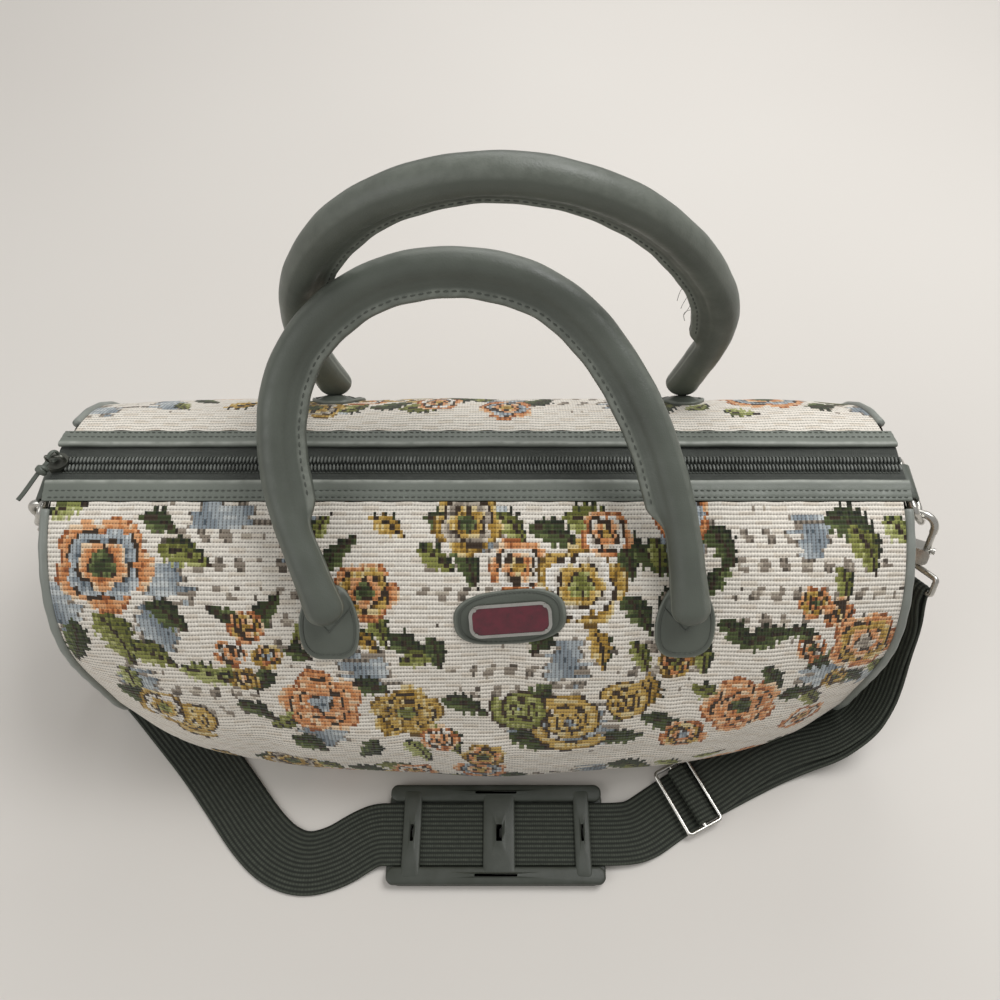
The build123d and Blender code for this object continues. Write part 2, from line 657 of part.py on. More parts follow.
# Shoulder pad: moulded base with side rails and three bars that bridge the webbing
slot_half = strap_width / 2 + 0.6
slot_low = strap_height - strap_thickness / 2 - 0.3
slot_high = strap_height + strap_thickness / 2 + 0.3
with BuildPart() as shoulder_pad:
    with BuildSketch(Plane.XY.offset(0.3)):
        with Locations(pad_centre):
            RectangleRounded(pad_length, pad_width, 9)
    extrude(amount=pad_height - 0.3)
    fillet(shoulder_pad.faces().sort_by(Axis.Z)[-1].edges(), 1.8)
    with BuildSketch(Plane.YZ.offset(pad_centre[0] - pad_length)):
        with Locations((pad_centre[1], (slot_low + slot_high) / 2)):
            Rectangle(2 * slot_half, slot_high - slot_low)
    extrude(amount=2 * pad_length, mode=Mode.SUBTRACT)
    bar_starts = [bar[0] - bar[1] / 2 for bar in pad_bars] + [pad_length]
    bar_ends = [-pad_length] + [bar[0] + bar[1] / 2 for bar in pad_bars]
    with BuildSketch(Plane.XY.offset(slot_low)):
        for left, right in zip(bar_ends, bar_starts):
            with Locations((pad_centre[0] + (left + right) / 2, pad_centre[1])):
                Rectangle(right - left, 2 * slot_half)
    extrude(amount=pad_height, mode=Mode.SUBTRACT)
finish(shoulder_pad.part, "shoulder_pad")

# Adjuster: rectangular wire frame with a middle bar, lying on the webbing
adjuster_plane = Plane(
    origin=(*adjuster_place, adjuster_height),
    x_dir=(cos(radians(adjuster_angle)), sin(radians(adjuster_angle)), 0), z_dir=(0, 0, 1),
)
frame_half = strap_width / 2 + adjuster_rod / 2 + 1
with BuildPart() as strap_adjuster:
    with BuildLine(adjuster_plane) as frame_path:
        reach = adjuster_length / 2
        FilletPolyline(
            (-reach, -frame_half), (reach, -frame_half), (reach, frame_half), (-reach, frame_half),
            close=True, radius=2.5,
        )
    with BuildSketch(Plane(origin=frame_path.wire().position_at(0), z_dir=frame_path.wire().tangent_at(0))):
        Circle(adjuster_rod / 2)
    sweep(path=frame_path.wire())
    bar_start = adjuster_plane.from_local_coords((0, -frame_half, 0))
    with BuildSketch(Plane(origin=bar_start, z_dir=adjuster_plane.y_dir)):
        Circle(adjuster_rod / 2)
    extrude(amount=2 * frame_half)
finish(strap_adjuster.part, "strap_adjuster")

# Doubled webbing: from the right eye back under the adjuster's frame, folded round its middle bar
return_route = [
    ((257.6, -37.2, 113.9), (-0.42, 0.83, -0.37)), ((257.7, -36.3, 115.7), (-0.42, 0.83, -0.37)),
    ((257, -35.5, 118.3), (-0.42, 0.83, -0.37)), ((255.1, -35.9, 119.6), (-0.42, 0.83, -0.37)),
    ((253.1, -37, 119.3), (-0.42, 0.83, -0.37)), ((252.2, -38.5, 117.2), (-0.42, 0.83, -0.37)),
    ((251.8, -41.3, 111.3), (-0.42, 0.83, -0.37)), ((253.8, -44.5, 103), (-0.42, 0.84, -0.36)),
    ((257.4, -49.5, 91), (-0.42, 0.86, -0.3)), ((257.9, -57, 72), (-0.38, 0.9, -0.22)),
    ((258.6, -66, 50), (-0.38, 0.88, -0.28)), ((255.8, -78.8, 31.5), (-0.42, 0.7, -0.58)),
    ((248, -91.1, 17.7), (-0.4, 0.59, -0.7)), ((231.1, -98.3, 10.1), (-0.45, 0.79, -0.41)),
    ((209.6, -100.9, 5.9), (-0.42, 0.9, -0.12)), ((189.7, -107.4, 4.2), (-0.4, 0.92, -0.02)),
    ((169.5, -118.5, 3.75), (-0.42, 0.91, 0)), ((150.3, -131, 3.75), (-0.44, 0.9, 0)),
    ((134, -140, 3.7), (-0.45, 0.89, 0)), ((132.3, -140.8, 4.5), (-0.45, 0.89, 0)),
    ((131.65, -141.15, 6.3), (-0.45, 0.89, 0)), ((132.3, -140.8, 8.1), (-0.45, 0.89, 0)),
    ((134, -140, 8.9), (-0.45, 0.89, 0)), ((140, -137, 8.9), (-0.45, 0.89, 0)),
]
return_planes = band_planes(return_route)
with BuildPart() as strap_return:
    for place in reversed(return_planes):
        with BuildSketch(place):
            Rectangle(strap_width, strap_thickness)
    loft(ruled=True)
finish(strap_return.part, "strap_return")
print_bends("strap_return", return_route)
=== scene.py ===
"""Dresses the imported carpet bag: tapestry body, leather trims and handles, zip, badge and strap."""

import logging
import math
from dataclasses import dataclass
from enum import Enum
from typing import Sequence

import bpy
import numpy as np
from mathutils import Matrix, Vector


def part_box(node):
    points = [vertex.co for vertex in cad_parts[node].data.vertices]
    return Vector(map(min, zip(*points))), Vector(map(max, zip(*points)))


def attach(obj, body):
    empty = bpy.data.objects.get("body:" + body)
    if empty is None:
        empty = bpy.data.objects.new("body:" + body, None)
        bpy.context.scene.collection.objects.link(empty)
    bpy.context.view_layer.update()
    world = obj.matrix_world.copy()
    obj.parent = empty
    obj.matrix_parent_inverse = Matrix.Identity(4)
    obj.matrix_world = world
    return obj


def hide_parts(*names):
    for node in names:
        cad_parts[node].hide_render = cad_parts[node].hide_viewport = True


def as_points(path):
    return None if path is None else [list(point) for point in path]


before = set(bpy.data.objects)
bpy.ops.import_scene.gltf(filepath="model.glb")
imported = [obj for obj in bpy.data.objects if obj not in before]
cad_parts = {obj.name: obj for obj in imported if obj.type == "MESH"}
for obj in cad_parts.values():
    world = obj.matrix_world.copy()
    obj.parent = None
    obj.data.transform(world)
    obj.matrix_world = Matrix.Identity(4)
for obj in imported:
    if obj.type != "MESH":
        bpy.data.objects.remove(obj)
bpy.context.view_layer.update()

logging.basicConfig(level=logging.INFO, format="%(message)s")
LOG = logging.getLogger("bag")

# The shape of the bag

MM = 0.001
BAG_LENGTH = 0.480
BAG_HEIGHT = 0.182
ARCH_RADIUS = 0.088
BELLY = {-1: 0.133, 1: 0.095}
CORNER_LIFT = 0.0075
ZIP_GAP = 0.024
TRIM_WIDTH = 0.0125
PANEL_END = 0.2349
SEAM_PLACE = 0.025
ARCH_CENTRE = BAG_HEIGHT - ARCH_RADIUS
TRIM_END = math.asin((ZIP_GAP / 2 + TRIM_WIDTH) / ARCH_RADIUS)
PANEL_START = TRIM_END + 0.0002 / ARCH_RADIUS

# Outlines from the trim down to the foot: (share of the reach, share of the height)
BELLY_SHAPE = (
    (0.37, 0.934), (0.57, 0.835), (0.73, 0.70), (0.88, 0.51), (0.965, 0.36),
    (0.99, 0.22), (0.975, 0.11), (0.91, 0.04), (0.81, 0.008), (0.70, 0),
)
END_SHAPE = (
    (0.40, 0.958), (0.64, 0.883), (0.83, 0.778), (0.955, 0.647), (1, 0.475),
    (1, 0.25), (0.985, 0.10), (0.93, 0.034), (0.86, 0.008), (0.77, 0),
)
# Stations along the bag: place as a share of the panel, share of the bulge, share of the corner's lift
STATIONS = (
    (-1, 0, 1), (-0.83, 0.48, 1), (-0.6, 0.8, 0.25), (-0.32, 0.95, -0.1), (0, 1, -0.1),
    (0.32, 0.95, -0.1), (0.6, 0.8, 0.25), (0.83, 0.48, 1), (1, 0, 1),
)


class Curve:
    """A smooth cubic curve through points, measured along its chords."""

    def __init__(self, points: Sequence, start=None, end=None, knots=None) -> None:
        """Fit the curve.

        Args:
            points: The points it passes, each of any number of coordinates.
            start: The slope at the first point, or None for a free end.
            end: The slope at the last point, or None for a free end.
            knots: Places of the points along the curve, or None for chord lengths.
        """
        p = np.asarray(points, float)
        if knots is None:
            knots = np.r_[0, np.cumsum(np.linalg.norm(np.diff(p, axis=0), axis=1))]
        self.knots = np.asarray(knots, float)
        self.points = p
        count = len(p)
        gap = np.diff(self.knots)
        matrix = np.zeros((count, count))
        right = np.zeros_like(p)
        for i in range(1, count - 1):
            matrix[i, i - 1:i + 2] = gap[i], 2 * (gap[i - 1] + gap[i]), gap[i - 1]
            right[i] = 3 * (
                gap[i] * (p[i] - p[i - 1]) / gap[i - 1] + gap[i - 1] * (p[i + 1] - p[i]) / gap[i]
            )
        for row, near, slope in ((0, 1, start), (count - 1, count - 2, end)):
            matrix[row, row] = 1 if slope is not None else 2
            if slope is None:
                matrix[row, near] = 1
                right[row] = 3 * (p[near] - p[row]) / (self.knots[near] - self.knots[row])
            else:
                right[row] = np.asarray(slope, float)
        self.slopes = np.linalg.solve(matrix, right)

    def at(self, place) -> np.ndarray:
        """Return the points at places along the curve.

        Args:
            place: One place or an array of places.

        Returns:
            The points, one row each.
        """
        s = np.clip(np.atleast_1d(np.asarray(place, float)), self.knots[0], self.knots[-1])
        i = np.clip(np.searchsorted(self.knots, s, "right") - 1, 0, len(self.knots) - 2)
        h = (self.knots[i + 1] - self.knots[i])[:, None]
        t = (s - self.knots[i])[:, None] / h
        a, b = self.points[i], self.points[i + 1]
        c, d = self.slopes[i] * h, self.slopes[i + 1] * h
        return (
            a * (2 * t**3 - 3 * t**2 + 1) + c * (t**3 - 2 * t**2 + t)
            + b * (3 * t**2 - 2 * t**3) + d * (t**3 - t**2)
        )

    def even(self, count: int) -> np.ndarray:
        """Return points at even distances along the curve.

        Args:
            count: How many points.

        Returns:
            The points, one row each.
        """
        fine = self.at(np.linspace(self.knots[0], self.knots[-1], 40 * len(self.points)))
        run = np.r_[0, np.cumsum(np.linalg.norm(np.diff(fine, axis=0), axis=1))]
        want = np.linspace(0, run[-1], count)
        return np.stack([np.interp(want, run, fine[:, k]) for k in range(fine.shape[1])], 1)


STATION_CURVE = Curve(
    [(bulge, lift) for _, bulge, lift in STATIONS], knots=[place * PANEL_END for place, _, _ in STATIONS]
)


def outline(side: int, place: float, count: int) -> np.ndarray:
    """Return one side's outline at a place along the bag.

    Args:
        side: -1 for the front, 1 for the back.
        place: Distance along X.
        count: How many even points from the trim to the foot.

    Returns:
        Rows of y and z.
    """
    bulge, lift = STATION_CURVE.at(place)[0]
    reach = ARCH_RADIUS + bulge * (BELLY[side] - ARCH_RADIUS)
    share = bulge if side < 0 else 0
    points = [(side * ARCH_RADIUS * math.sin(PANEL_START), ARCH_CENTRE + ARCH_RADIUS * math.cos(PANEL_START))]
    for belly, end in zip(BELLY_SHAPE, END_SHAPE):
        out = belly[0] * share + end[0] * (1 - share)
        up = belly[1] * share + end[1] * (1 - share)
        foot = lift * CORNER_LIFT
        points.append((side * out * reach, max(0.0, foot + up * (BAG_HEIGHT - foot))))
    slope = (side * math.cos(PANEL_START), -math.sin(PANEL_START))
    return Curve(points, slope, (-side, 0)).even(count)

# Materials


def linear(colour: str) -> tuple:
    """Return a #rrggbb colour as linear RGBA values."""
    parts = [int(colour[i:i + 2], 16) / 255 for i in (1, 3, 5)]
    return tuple(c / 12.92 if c <= 0.04045 else ((c + 0.055) / 1.055) ** 2.4 for c in parts) + (1.0,)


class Graph:
    """Builds the nodes of one material."""

    def __init__(self, name: str) -> None:
        """Start a material whose shader is a Principled BSDF."""
        self.material = bpy.data.materials.new(name)
        self.material.use_nodes = True
        self.tree = self.material.node_tree
        self.shader = self.tree.nodes["Principled BSDF"]

    def add(self, kind: str, inputs: dict = None, **settings):
        """Add a node.

        Args:
            kind: The node's type.
            inputs: Socket values or sockets to link, by socket name or number.
            settings: The node's own properties.

        Returns:
            The new node.
        """
        node = self.tree.nodes.new(kind)
        for key, value in settings.items():
            setattr(node, key, value)
        for key, value in (inputs or {}).items():
            self.set(node, key, value)
        return node

    def set(self, node, key, value) -> None:
        """Set or link one input of a node."""
        if isinstance(value, bpy.types.NodeSocket):
            self.tree.links.new(value, node.inputs[key])
        else:
            node.inputs[key].default_value = value

    def math(self, operation: str, first, second=0.0, clamp: bool = False):
        """Return the result socket of a Math node."""
        node = self.add("ShaderNodeMath", {0: first, 1: second}, operation=operation, use_clamp=clamp)
        return node.outputs[0]

    def mix(self, share, first, second, mode: str = "MIX"):
        """Return the colour socket of a colour mix."""
        node = self.add("ShaderNodeMix", {0: share, 6: first, 7: second}, data_type="RGBA", blend_type=mode)
        return node.outputs[2]

    def remap(self, value, low: float, high: float, to_low: float = 0.0, to_high: float = 1.0):
        """Return a value moved from one range to another."""
        inputs = {0: value, 1: low, 2: high, 3: to_low, 4: to_high}
        return self.add("ShaderNodeMapRange", inputs).outputs[0]

    def noise(self, size: float, detail: float = 2.0, vector=None):
        """Return a noise value whose features are about size metres across."""
        inputs = {"Scale": 1 / size, "Detail": detail, "Vector": vector or self.place()}
        return self.add("ShaderNodeTexNoise", inputs).outputs["Fac"]

    def place(self):
        """Return the object's own coordinates in metres."""
        return self.add("ShaderNodeTexCoord").outputs["Object"]

    def thread(self):
        """Return the two thread coordinates in metres as separate sockets."""
        uv = self.add("ShaderNodeUVMap", uv_map="thread").outputs[0]
        parts = self.add("ShaderNodeSeparateXYZ", {0: uv})
        return parts.outputs[0], parts.outputs[1]

    def wave(self, value, period: float, phase: float = 0.0):
        """Return a sine between 0 and 1 with a period in metres."""
        turned = self.math("ADD", self.math("MULTIPLY", value, 2 * math.pi / period), phase)
        return self.math("ADD", self.math("MULTIPLY", self.math("SINE", turned), 0.5), 0.5)

    def bump(self, height, strength: float, distance: float) -> None:
        """Link a bump to the shader."""
        inputs = {"Height": height, "Strength": strength, "Distance": distance}
        self.set(self.shader, "Normal", self.add("ShaderNodeBump", inputs).outputs[0])


@dataclass(frozen=True)
class Leather:
    """Soft split leather, matt with a fine grain, paler where worn and along painted highlights on the
    handles.
    """

    name: str
    colour: str
    rubbed_and_highlight: str
    shade: str
    roughness: float = 0.5
    slot: str = "leather"

    def build(self) -> bpy.types.Material:
        """Return the material: grain of 0.9 mm, creases of 6 mm, tone patches of 35 mm."""
        g = Graph(self.name)
        cells = g.add("ShaderNodeTexVoronoi", {"Scale": 1 / 0.0009, "Vector": g.place()}).outputs["Distance"]
        crease = g.noise(0.006, 4)
        patches = g.remap(g.noise(0.035, 3), 0.35, 0.7)
        colour = g.mix(g.math("MULTIPLY", patches, 0.7), linear(self.colour), linear(self.shade))
        # Paler where the stored attribute is high: worn edges, and a painted highlight along each handle's
        # outer edge.
        wear_and_highlight = g.add("ShaderNodeAttribute", attribute_name="wear_and_highlight").outputs["Fac"]
        rub_and_highlight = g.math("MULTIPLY", wear_and_highlight, g.remap(crease, 0.3, 0.65, 0.35, 1.0), clamp=True)
        g.set(g.shader, "Base Color", g.mix(rub_and_highlight, colour, linear(self.rubbed_and_highlight)))
        g.set(g.shader, "Roughness", g.remap(crease, 0.3, 0.7, self.roughness - 0.07, self.roughness + 0.1))
        g.shader.inputs["Specular IOR Level"].default_value = 0.45
        height = g.math("ADD", g.math("MULTIPLY", cells, 0.35), g.math("MULTIPLY", crease, 0.9))
        g.bump(height, 0.35, 0.0005)
        return g.material


@dataclass(frozen=True)
class Tapestry:
    """Jacquard cloth: coloured weft ribs 2.6 mm apart, tied down by fine dark binding threads."""

    name: str = "Jacquard tapestry"
    binding: str = "#3a2f27"
    slot: str = "tapestry"

    def build(self) -> bpy.types.Material:
        """Return the material, whose colours come from the woven cells of the mesh."""
        g = Graph(self.name)
        along, across = g.thread()
        yarn = g.add("ShaderNodeAttribute", attribute_name="yarn").outputs["Color"]
        warp = g.add("ShaderNodeAttribute", attribute_name="warp").outputs["Fac"]
        rib = g.wave(across, 0.0026)
        cord = g.wave(along, 0.0022)
        ridge = g.add("ShaderNodeMix", {0: warp, 2: rib, 3: cord}, data_type="FLOAT").outputs[0]
        way = g.add("ShaderNodeMix", {0: warp, 2: along, 3: across}, data_type="FLOAT")
        beat = g.wave(way.outputs[0], 0.0017)
        groove = g.remap(ridge, 0.0, 0.34, 1.0, 0.0)
        dots = g.math("MULTIPLY", groove, g.remap(beat, 0.15, 0.75, 1.0, 0.35))
        fuzz = g.noise(0.0012, 2)
        tone = g.mix(g.remap(fuzz, 0.3, 0.7, 0.0, 0.22), yarn, (0.02, 0.017, 0.013, 1.0))
        g.set(g.shader, "Base Color", g.mix(g.math("MULTIPLY", dots, 0.8), tone, linear(self.binding)))
        g.shader.inputs["Roughness"].default_value = 0.82
        g.shader.inputs["Specular IOR Level"].default_value = 0.25
        g.shader.inputs["Sheen Weight"].default_value = 0.15
        height = g.math("ADD", ridge, g.math("MULTIPLY", beat, 0.3))
        g.bump(g.math("ADD", height, g.math("MULTIPLY", fuzz, 0.3)), 0.75, 0.0006)
        return g.material


@dataclass(frozen=True)
class Woven:
    """Plain woven tape or webbing: ribs along its length, crossed by a fine weft."""

    name: str
    colour: str
    light: str
    rib: float
    weft: float
    slant: float = 0.0
    roughness: float = 0.75
    slot: str = "webbing"

    def build(self) -> bpy.types.Material:
        """Return the material with its ribs and weft at their real pitch."""
        g = Graph(self.name)
        across, along = g.thread()
        run = g.math("ADD", along, g.math("MULTIPLY", across, self.slant))
        rib = g.wave(across, self.rib)
        weft = g.wave(run, self.weft)
        height = g.math("MULTIPLY", rib, g.remap(weft, 0.0, 1.0, 0.55, 1.0))
        # The colour follows the bump height: crests of the ribs and weft are painted lighter and the grooves
        # between them darker, as painted shade.
        tone = g.math("MULTIPLY", height, g.remap(g.noise(0.003, 3), 0.3, 0.7, 0.6, 1.0))
        g.set(g.shader, "Base Color", g.mix(tone, linear(self.colour), linear(self.light)))
        g.shader.inputs["Roughness"].default_value = self.roughness
        g.shader.inputs["Specular IOR Level"].default_value = 0.3
        g.bump(height, 0.8, 0.0005)
        return g.material


@dataclass(frozen=True)
class Metal:
    """Plated metal with faint scratches and slightly dull patches."""

    name: str
    colour: str
    roughness: float
    slot: str = "nickel"

    def build(self) -> bpy.types.Material:
        """Return the material: scratches of 1 mm, dull patches of 8 mm."""
        g = Graph(self.name)
        patches = g.noise(0.008, 3)
        g.shader.inputs["Metallic"].default_value = 1.0
        dull = g.remap(patches, 0.4, 0.75, 0.0, 0.35)
        g.set(g.shader, "Base Color", g.mix(dull, linear(self.colour), linear("#77736b")))
        g.set(g.shader, "Roughness", g.remap(patches, 0.35, 0.7, self.roughness, self.roughness + 0.14))
        g.bump(g.noise(0.001, 3), 0.08, 0.0002)
        return g.material


@dataclass(frozen=True)
class Moulding:
    """Moulded plastic, rubber or enamel with a fine texture."""

    name: str
    colour: str
    shade: str
    roughness: float
    grain: float
    slot: str
    coat: float = 0.0

    def build(self) -> bpy.types.Material:
        """Return the material with its grain at the given size in metres."""
        g = Graph(self.name)
        grain = g.noise(self.grain, 3)
        mottle = g.remap(g.noise(self.grain * 12, 2), 0.35, 0.7)
        g.set(g.shader, "Base Color", g.mix(mottle, linear(self.colour), linear(self.shade)))
        g.set(g.shader, "Roughness", g.remap(grain, 0.3, 0.7, self.roughness - 0.04, self.roughness + 0.06))
        g.shader.inputs["Coat Weight"].default_value = self.coat
        g.shader.inputs["Coat Roughness"].default_value = 0.06
        g.bump(grain, 0.25, self.grain * 0.3)
        return g.material


FINISHES = {
    "tapestry": Tapestry(),
    "trim": Leather("Trim leather", "#6f746c", "#9da098", "#5f645c"),
    "handle": Leather("Handle leather", "#585d55", "#8d9188", "#494d46", 0.44),
    "piping": Leather("Piping leather", "#858983", "#a9aca6", "#6f736d", 0.4),
    "thread": Leather("Sewing thread", "#51554e", "#6f736b", "#454943", 0.6),
    "webbing": Woven("Ribbed nylon webbing", "#1d201b", "#4d5248", 0.0027, 0.0014),
    "tape": Woven("Zip tape twill", "#3a3d3a", "#62655f", 0.0009, 0.0012, 1.0, 0.7, "zip_tape"),
    "coil": Moulding("Nylon zip coil", "#6d706b", "#50534e", 0.38, 0.0006, "coil"),
    "nickel": Metal("Plated nickel", "#c9c7c1", 0.2),
    "gunmetal": Metal("Grey plated slider", "#74766f", 0.34),
    "enamel": Moulding("Burgundy enamel", "#5c0a20", "#4a0719", 0.16, 0.0004, "enamel", 1.0),
    "pad": Moulding("Moulded vinyl pad", "#3b3f38", "#33372f", 0.5, 0.0008, "pad_vinyl"),
}
MATERIALS = {name: finish.build() for name, finish in FINISHES.items()}

# Mesh tools


def unit(vectors: np.ndarray) -> np.ndarray:
    """Return vectors scaled to length one."""
    return vectors / np.maximum(np.linalg.norm(vectors, axis=-1, keepdims=True), 1e-12)


def grid_faces(rows: int, columns: int, wrap: bool = False, flip: bool = False) -> np.ndarray:
    """Return the quads of a grid of points.

    Args:
        rows: Points along the first way.
        columns: Points along the second way.
        wrap: Whether the second way closes on itself.
        flip: Whether the faces look the other way.

    Returns:
        One row of four point numbers for each quad.
    """
    i = np.arange(rows - 1)[:, None]
    j = np.arange(columns if wrap else columns - 1)[None, :]
    k = (j + 1) % columns
    quads = np.stack([i * columns + j, (i + 1) * columns + j, (i + 1) * columns + k, i * columns + k], -1)
    return quads.reshape(-1, 4)[:, ::-1] if flip else quads.reshape(-1, 4)


def make(name: str, points: np.ndarray, faces, finish: str, uv: np.ndarray = None) -> bpy.types.Object:
    """Make a mesh piece.

    Args:
        name: The piece's name.
        points: Its points in metres.
        faces: Its faces.
        finish: The finish's name in FINISHES.
        uv: Thread coordinates of each point in metres.

    Returns:
        The new object.
    """
    mesh = bpy.data.meshes.new(name)
    faces = [list(map(int, face)) for face in faces]
    mesh.from_pydata(np.asarray(points, float).reshape(-1, 3).tolist(), [], faces)
    mesh.polygons.foreach_set("use_smooth", [True] * len(mesh.polygons))
    if uv is not None:
        numbers = np.zeros(len(mesh.loops), np.int32)
        mesh.loops.foreach_get("vertex_index", numbers)
        layer = mesh.uv_layers.new(name="thread")
        layer.data.foreach_set("uv", np.asarray(uv, np.float32).reshape(-1, 2)[numbers].ravel())
    mesh.materials.append(MATERIALS[finish])
    piece = bpy.data.objects.new(name, mesh)
    bpy.context.scene.collection.objects.link(piece)
    LOG.info("piece %s: %d faces", name, len(faces))
    return piece


def set_wear_and_highlight(piece: bpy.types.Object, wear_and_highlight: np.ndarray) -> None:
    """Store how pale each point of a leather piece is, from 0 to 1: worn edges, and on the handles also a
    painted highlight.
    """
    layer = piece.data.attributes.new("wear_and_highlight", "FLOAT", "POINT")
    layer.data.foreach_set("value", np.asarray(wear_and_highlight, np.float32).ravel())


def sweep(
    name: str, path: np.ndarray, first: np.ndarray, second: np.ndarray, profile: np.ndarray, finish: str,
    closed: bool = True,
) -> bpy.types.Object:
    """Sweep a profile along a path.

    Args:
        name: The piece's name.
        path: Points of the path.
        first: Unit vectors of the profile's first axis, one for each point.
        second: Unit vectors of its second axis.
        profile: Points of the profile, the same for all or one set for each path point.
        finish: The finish's name.
        closed: Whether the profile closes on itself.

    Returns:
        The new object.
    """
    profile = np.broadcast_to(profile, (len(path),) + np.shape(profile)[-2:])
    points = path[:, None] + profile[..., :1] * first[:, None] + profile[..., 1:] * second[:, None]
    run = np.r_[0, np.cumsum(np.linalg.norm(np.diff(path, axis=0), axis=1))]
    steps = np.linalg.norm(np.diff(profile[len(path) // 2], axis=0), axis=1)
    width = np.r_[0, np.cumsum(steps)]
    uv = np.stack(np.broadcast_arrays(width[None, :], run[:, None]), -1)
    faces = grid_faces(len(path), profile.shape[1], closed).tolist()
    if closed:
        count = profile.shape[1]
        faces.append(list(range(count)))
        faces.append([(len(path) - 1) * count + k for k in reversed(range(count))])
    return make(name, points, faces, finish, uv)


def beads(
    name: str, centres: np.ndarray, along: np.ndarray, side: np.ndarray, up: np.ndarray, finish: str,
    power: float = 1.0, segments: int = 8, rings: int = 5,
) -> bpy.types.Object:
    """Make many small rounded bodies as one piece, such as stitches or teeth.

    Args:
        name: The piece's name.
        centres: Their middles.
        along: Half-length vectors.
        side: Half-width vectors.
        up: Half-height vectors.
        finish: The finish's name.
        power: Below 1 for boxier bodies.
        segments: Points round each body.
        rings: Rings from end to end.

    Returns:
        The new object.
    """
    turn = np.linspace(0, 2 * math.pi, segments, endpoint=False)
    tilt = np.linspace(0.12, math.pi - 0.12, rings)
    shape = np.stack([
        np.broadcast_to(np.cos(tilt)[:, None], (rings, segments)),
        np.sin(tilt)[:, None] * np.cos(turn), np.sin(tilt)[:, None] * np.sin(turn),
    ], -1).reshape(-1, 3)
    shape = np.sign(shape) * np.abs(shape) ** power
    points = (
        centres[:, None] + shape[None, :, :1] * along[:, None] + shape[None, :, 1:2] * side[:, None]
        + shape[None, :, 2:] * up[:, None]
    )
    one = grid_faces(rings, segments, True).tolist()
    one += [list(range(segments)), [(rings - 1) * segments + k for k in reversed(range(segments))]]
    faces = [[k + number * len(shape) for k in face] for number in range(len(centres)) for face in one]
    return make(name, points, faces, finish)


def even_points(points: np.ndarray, pitch: float) -> np.ndarray:
    """Return points along a polyline at an even pitch in metres."""
    run = np.r_[0, np.cumsum(np.linalg.norm(np.diff(points, axis=0), axis=1))]
    want = np.arange(pitch / 2, run[-1], pitch)
    return np.stack([np.interp(want, run, points[:, k]) for k in range(points.shape[1])], 1)


def stitch_row(
    name: str, points: np.ndarray, up: np.ndarray, pitch: float = 0.0034, length: float = 0.0023,
    width: float = 0.0009,
) -> bpy.types.Object:
    """Sew a row of stitches along a line.

    Args:
        name: The piece's name.
        points: The line.
        up: The surface's normal at each point.
        pitch: Distance from stitch to stitch.
        length: A stitch's length.
        width: A stitch's width.

    Returns:
        The new object.
    """
    both = even_points(np.hstack([points, up]), pitch)
    places, normals = both[:, :3], unit(both[:, 3:])
    along = unit(np.gradient(places, axis=0))
    side = unit(np.cross(normals, along))
    return beads(name, places, along * length / 2, side * width / 2, normals * width * 0.42, "thread")

# The woven pattern


class Ramp(Enum):
    """Yarn colours from deep to light for one field of the pattern."""

    CREAM = ("#8f8474", "#d3c8b6", "#e4dacb", "#efe8dc")
    PEACH = ("#9a5a32", "#d08a55", "#e3a877", "#f0d3b0")
    OCHRE = ("#6d5322", "#a98538", "#c9a65a", "#e3cf9c")
    OLIVE = ("#3c401e", "#6a6d31", "#8a8d4a", "#b4b577")
    DARK = ("#20261a", "#353f24", "#4a5530", "#6f7a4a")
    LIME = ("#5d6432", "#8c9150", "#adb071", "#cfd0a0")
    BLUE = ("#4f5a62", "#8a949b", "#aab2b6", "#ccd1d1")
    TAUPE = ("#5f574d", "#978c7e", "#c0b5a4", "#ddd2c2")
    BROWN = ("#241c15", "#3a2d21", "#4b3a2a", "#6b543c")
    WHITE = ("#a99f90", "#ddd5c8", "#efe9df", "#f6f2ea")


RAMPS = list(Ramp)


class Canvas:
    """The woven cells of one panel: where they are and what yarn shows."""

    def __init__(self, along: np.ndarray, across: np.ndarray) -> None:
        """Start with the cream ground.

        Args:
            along: Each cell's place along the bag in mm.
            across: Each cell's distance from the trim in mm.
        """
        rib = np.floor(across / 2.6)
        self.x = np.floor(along / 1.5) * 1.5 + 0.35 * np.sin(rib * 2.4)
        self.s = rib * 2.6 + 1.3
        even = np.mod(rib, 2)
        column = np.mod(np.floor(along / 1.5), 2)
        self.screen = 0.12 + 0.5 * even + 0.25 * column
        self.ramp = np.zeros(along.shape, np.int32)
        self.level = np.where(np.mod(rib * 7 + np.floor(along / 9), 5) < 1, 2, 3)
        self.warp = np.zeros(along.shape, np.float32)

    def paint(self, where: np.ndarray, ramp: Ramp, shade, warp: float = 0.0) -> None:
        """Weave a field.

        Args:
            where: Which cells.
            ramp: The yarns.
            shade: From 0, deep, to 1, light.
            warp: 1 where the warp lies on top, as upright lines.
        """
        level = np.clip(np.floor(np.asarray(shade) * 3 + self.screen * 1.1), 0, 3).astype(int)
        self.ramp[where] = RAMPS.index(ramp)
        self.level[where] = np.broadcast_to(level, self.x.shape)[where]
        self.warp[where] = warp

    def colours(self) -> np.ndarray:
        """Return the linear colour of each cell."""
        table = np.array([[linear(colour) for colour in ramp.value] for ramp in RAMPS])
        return table[self.ramp, self.level]


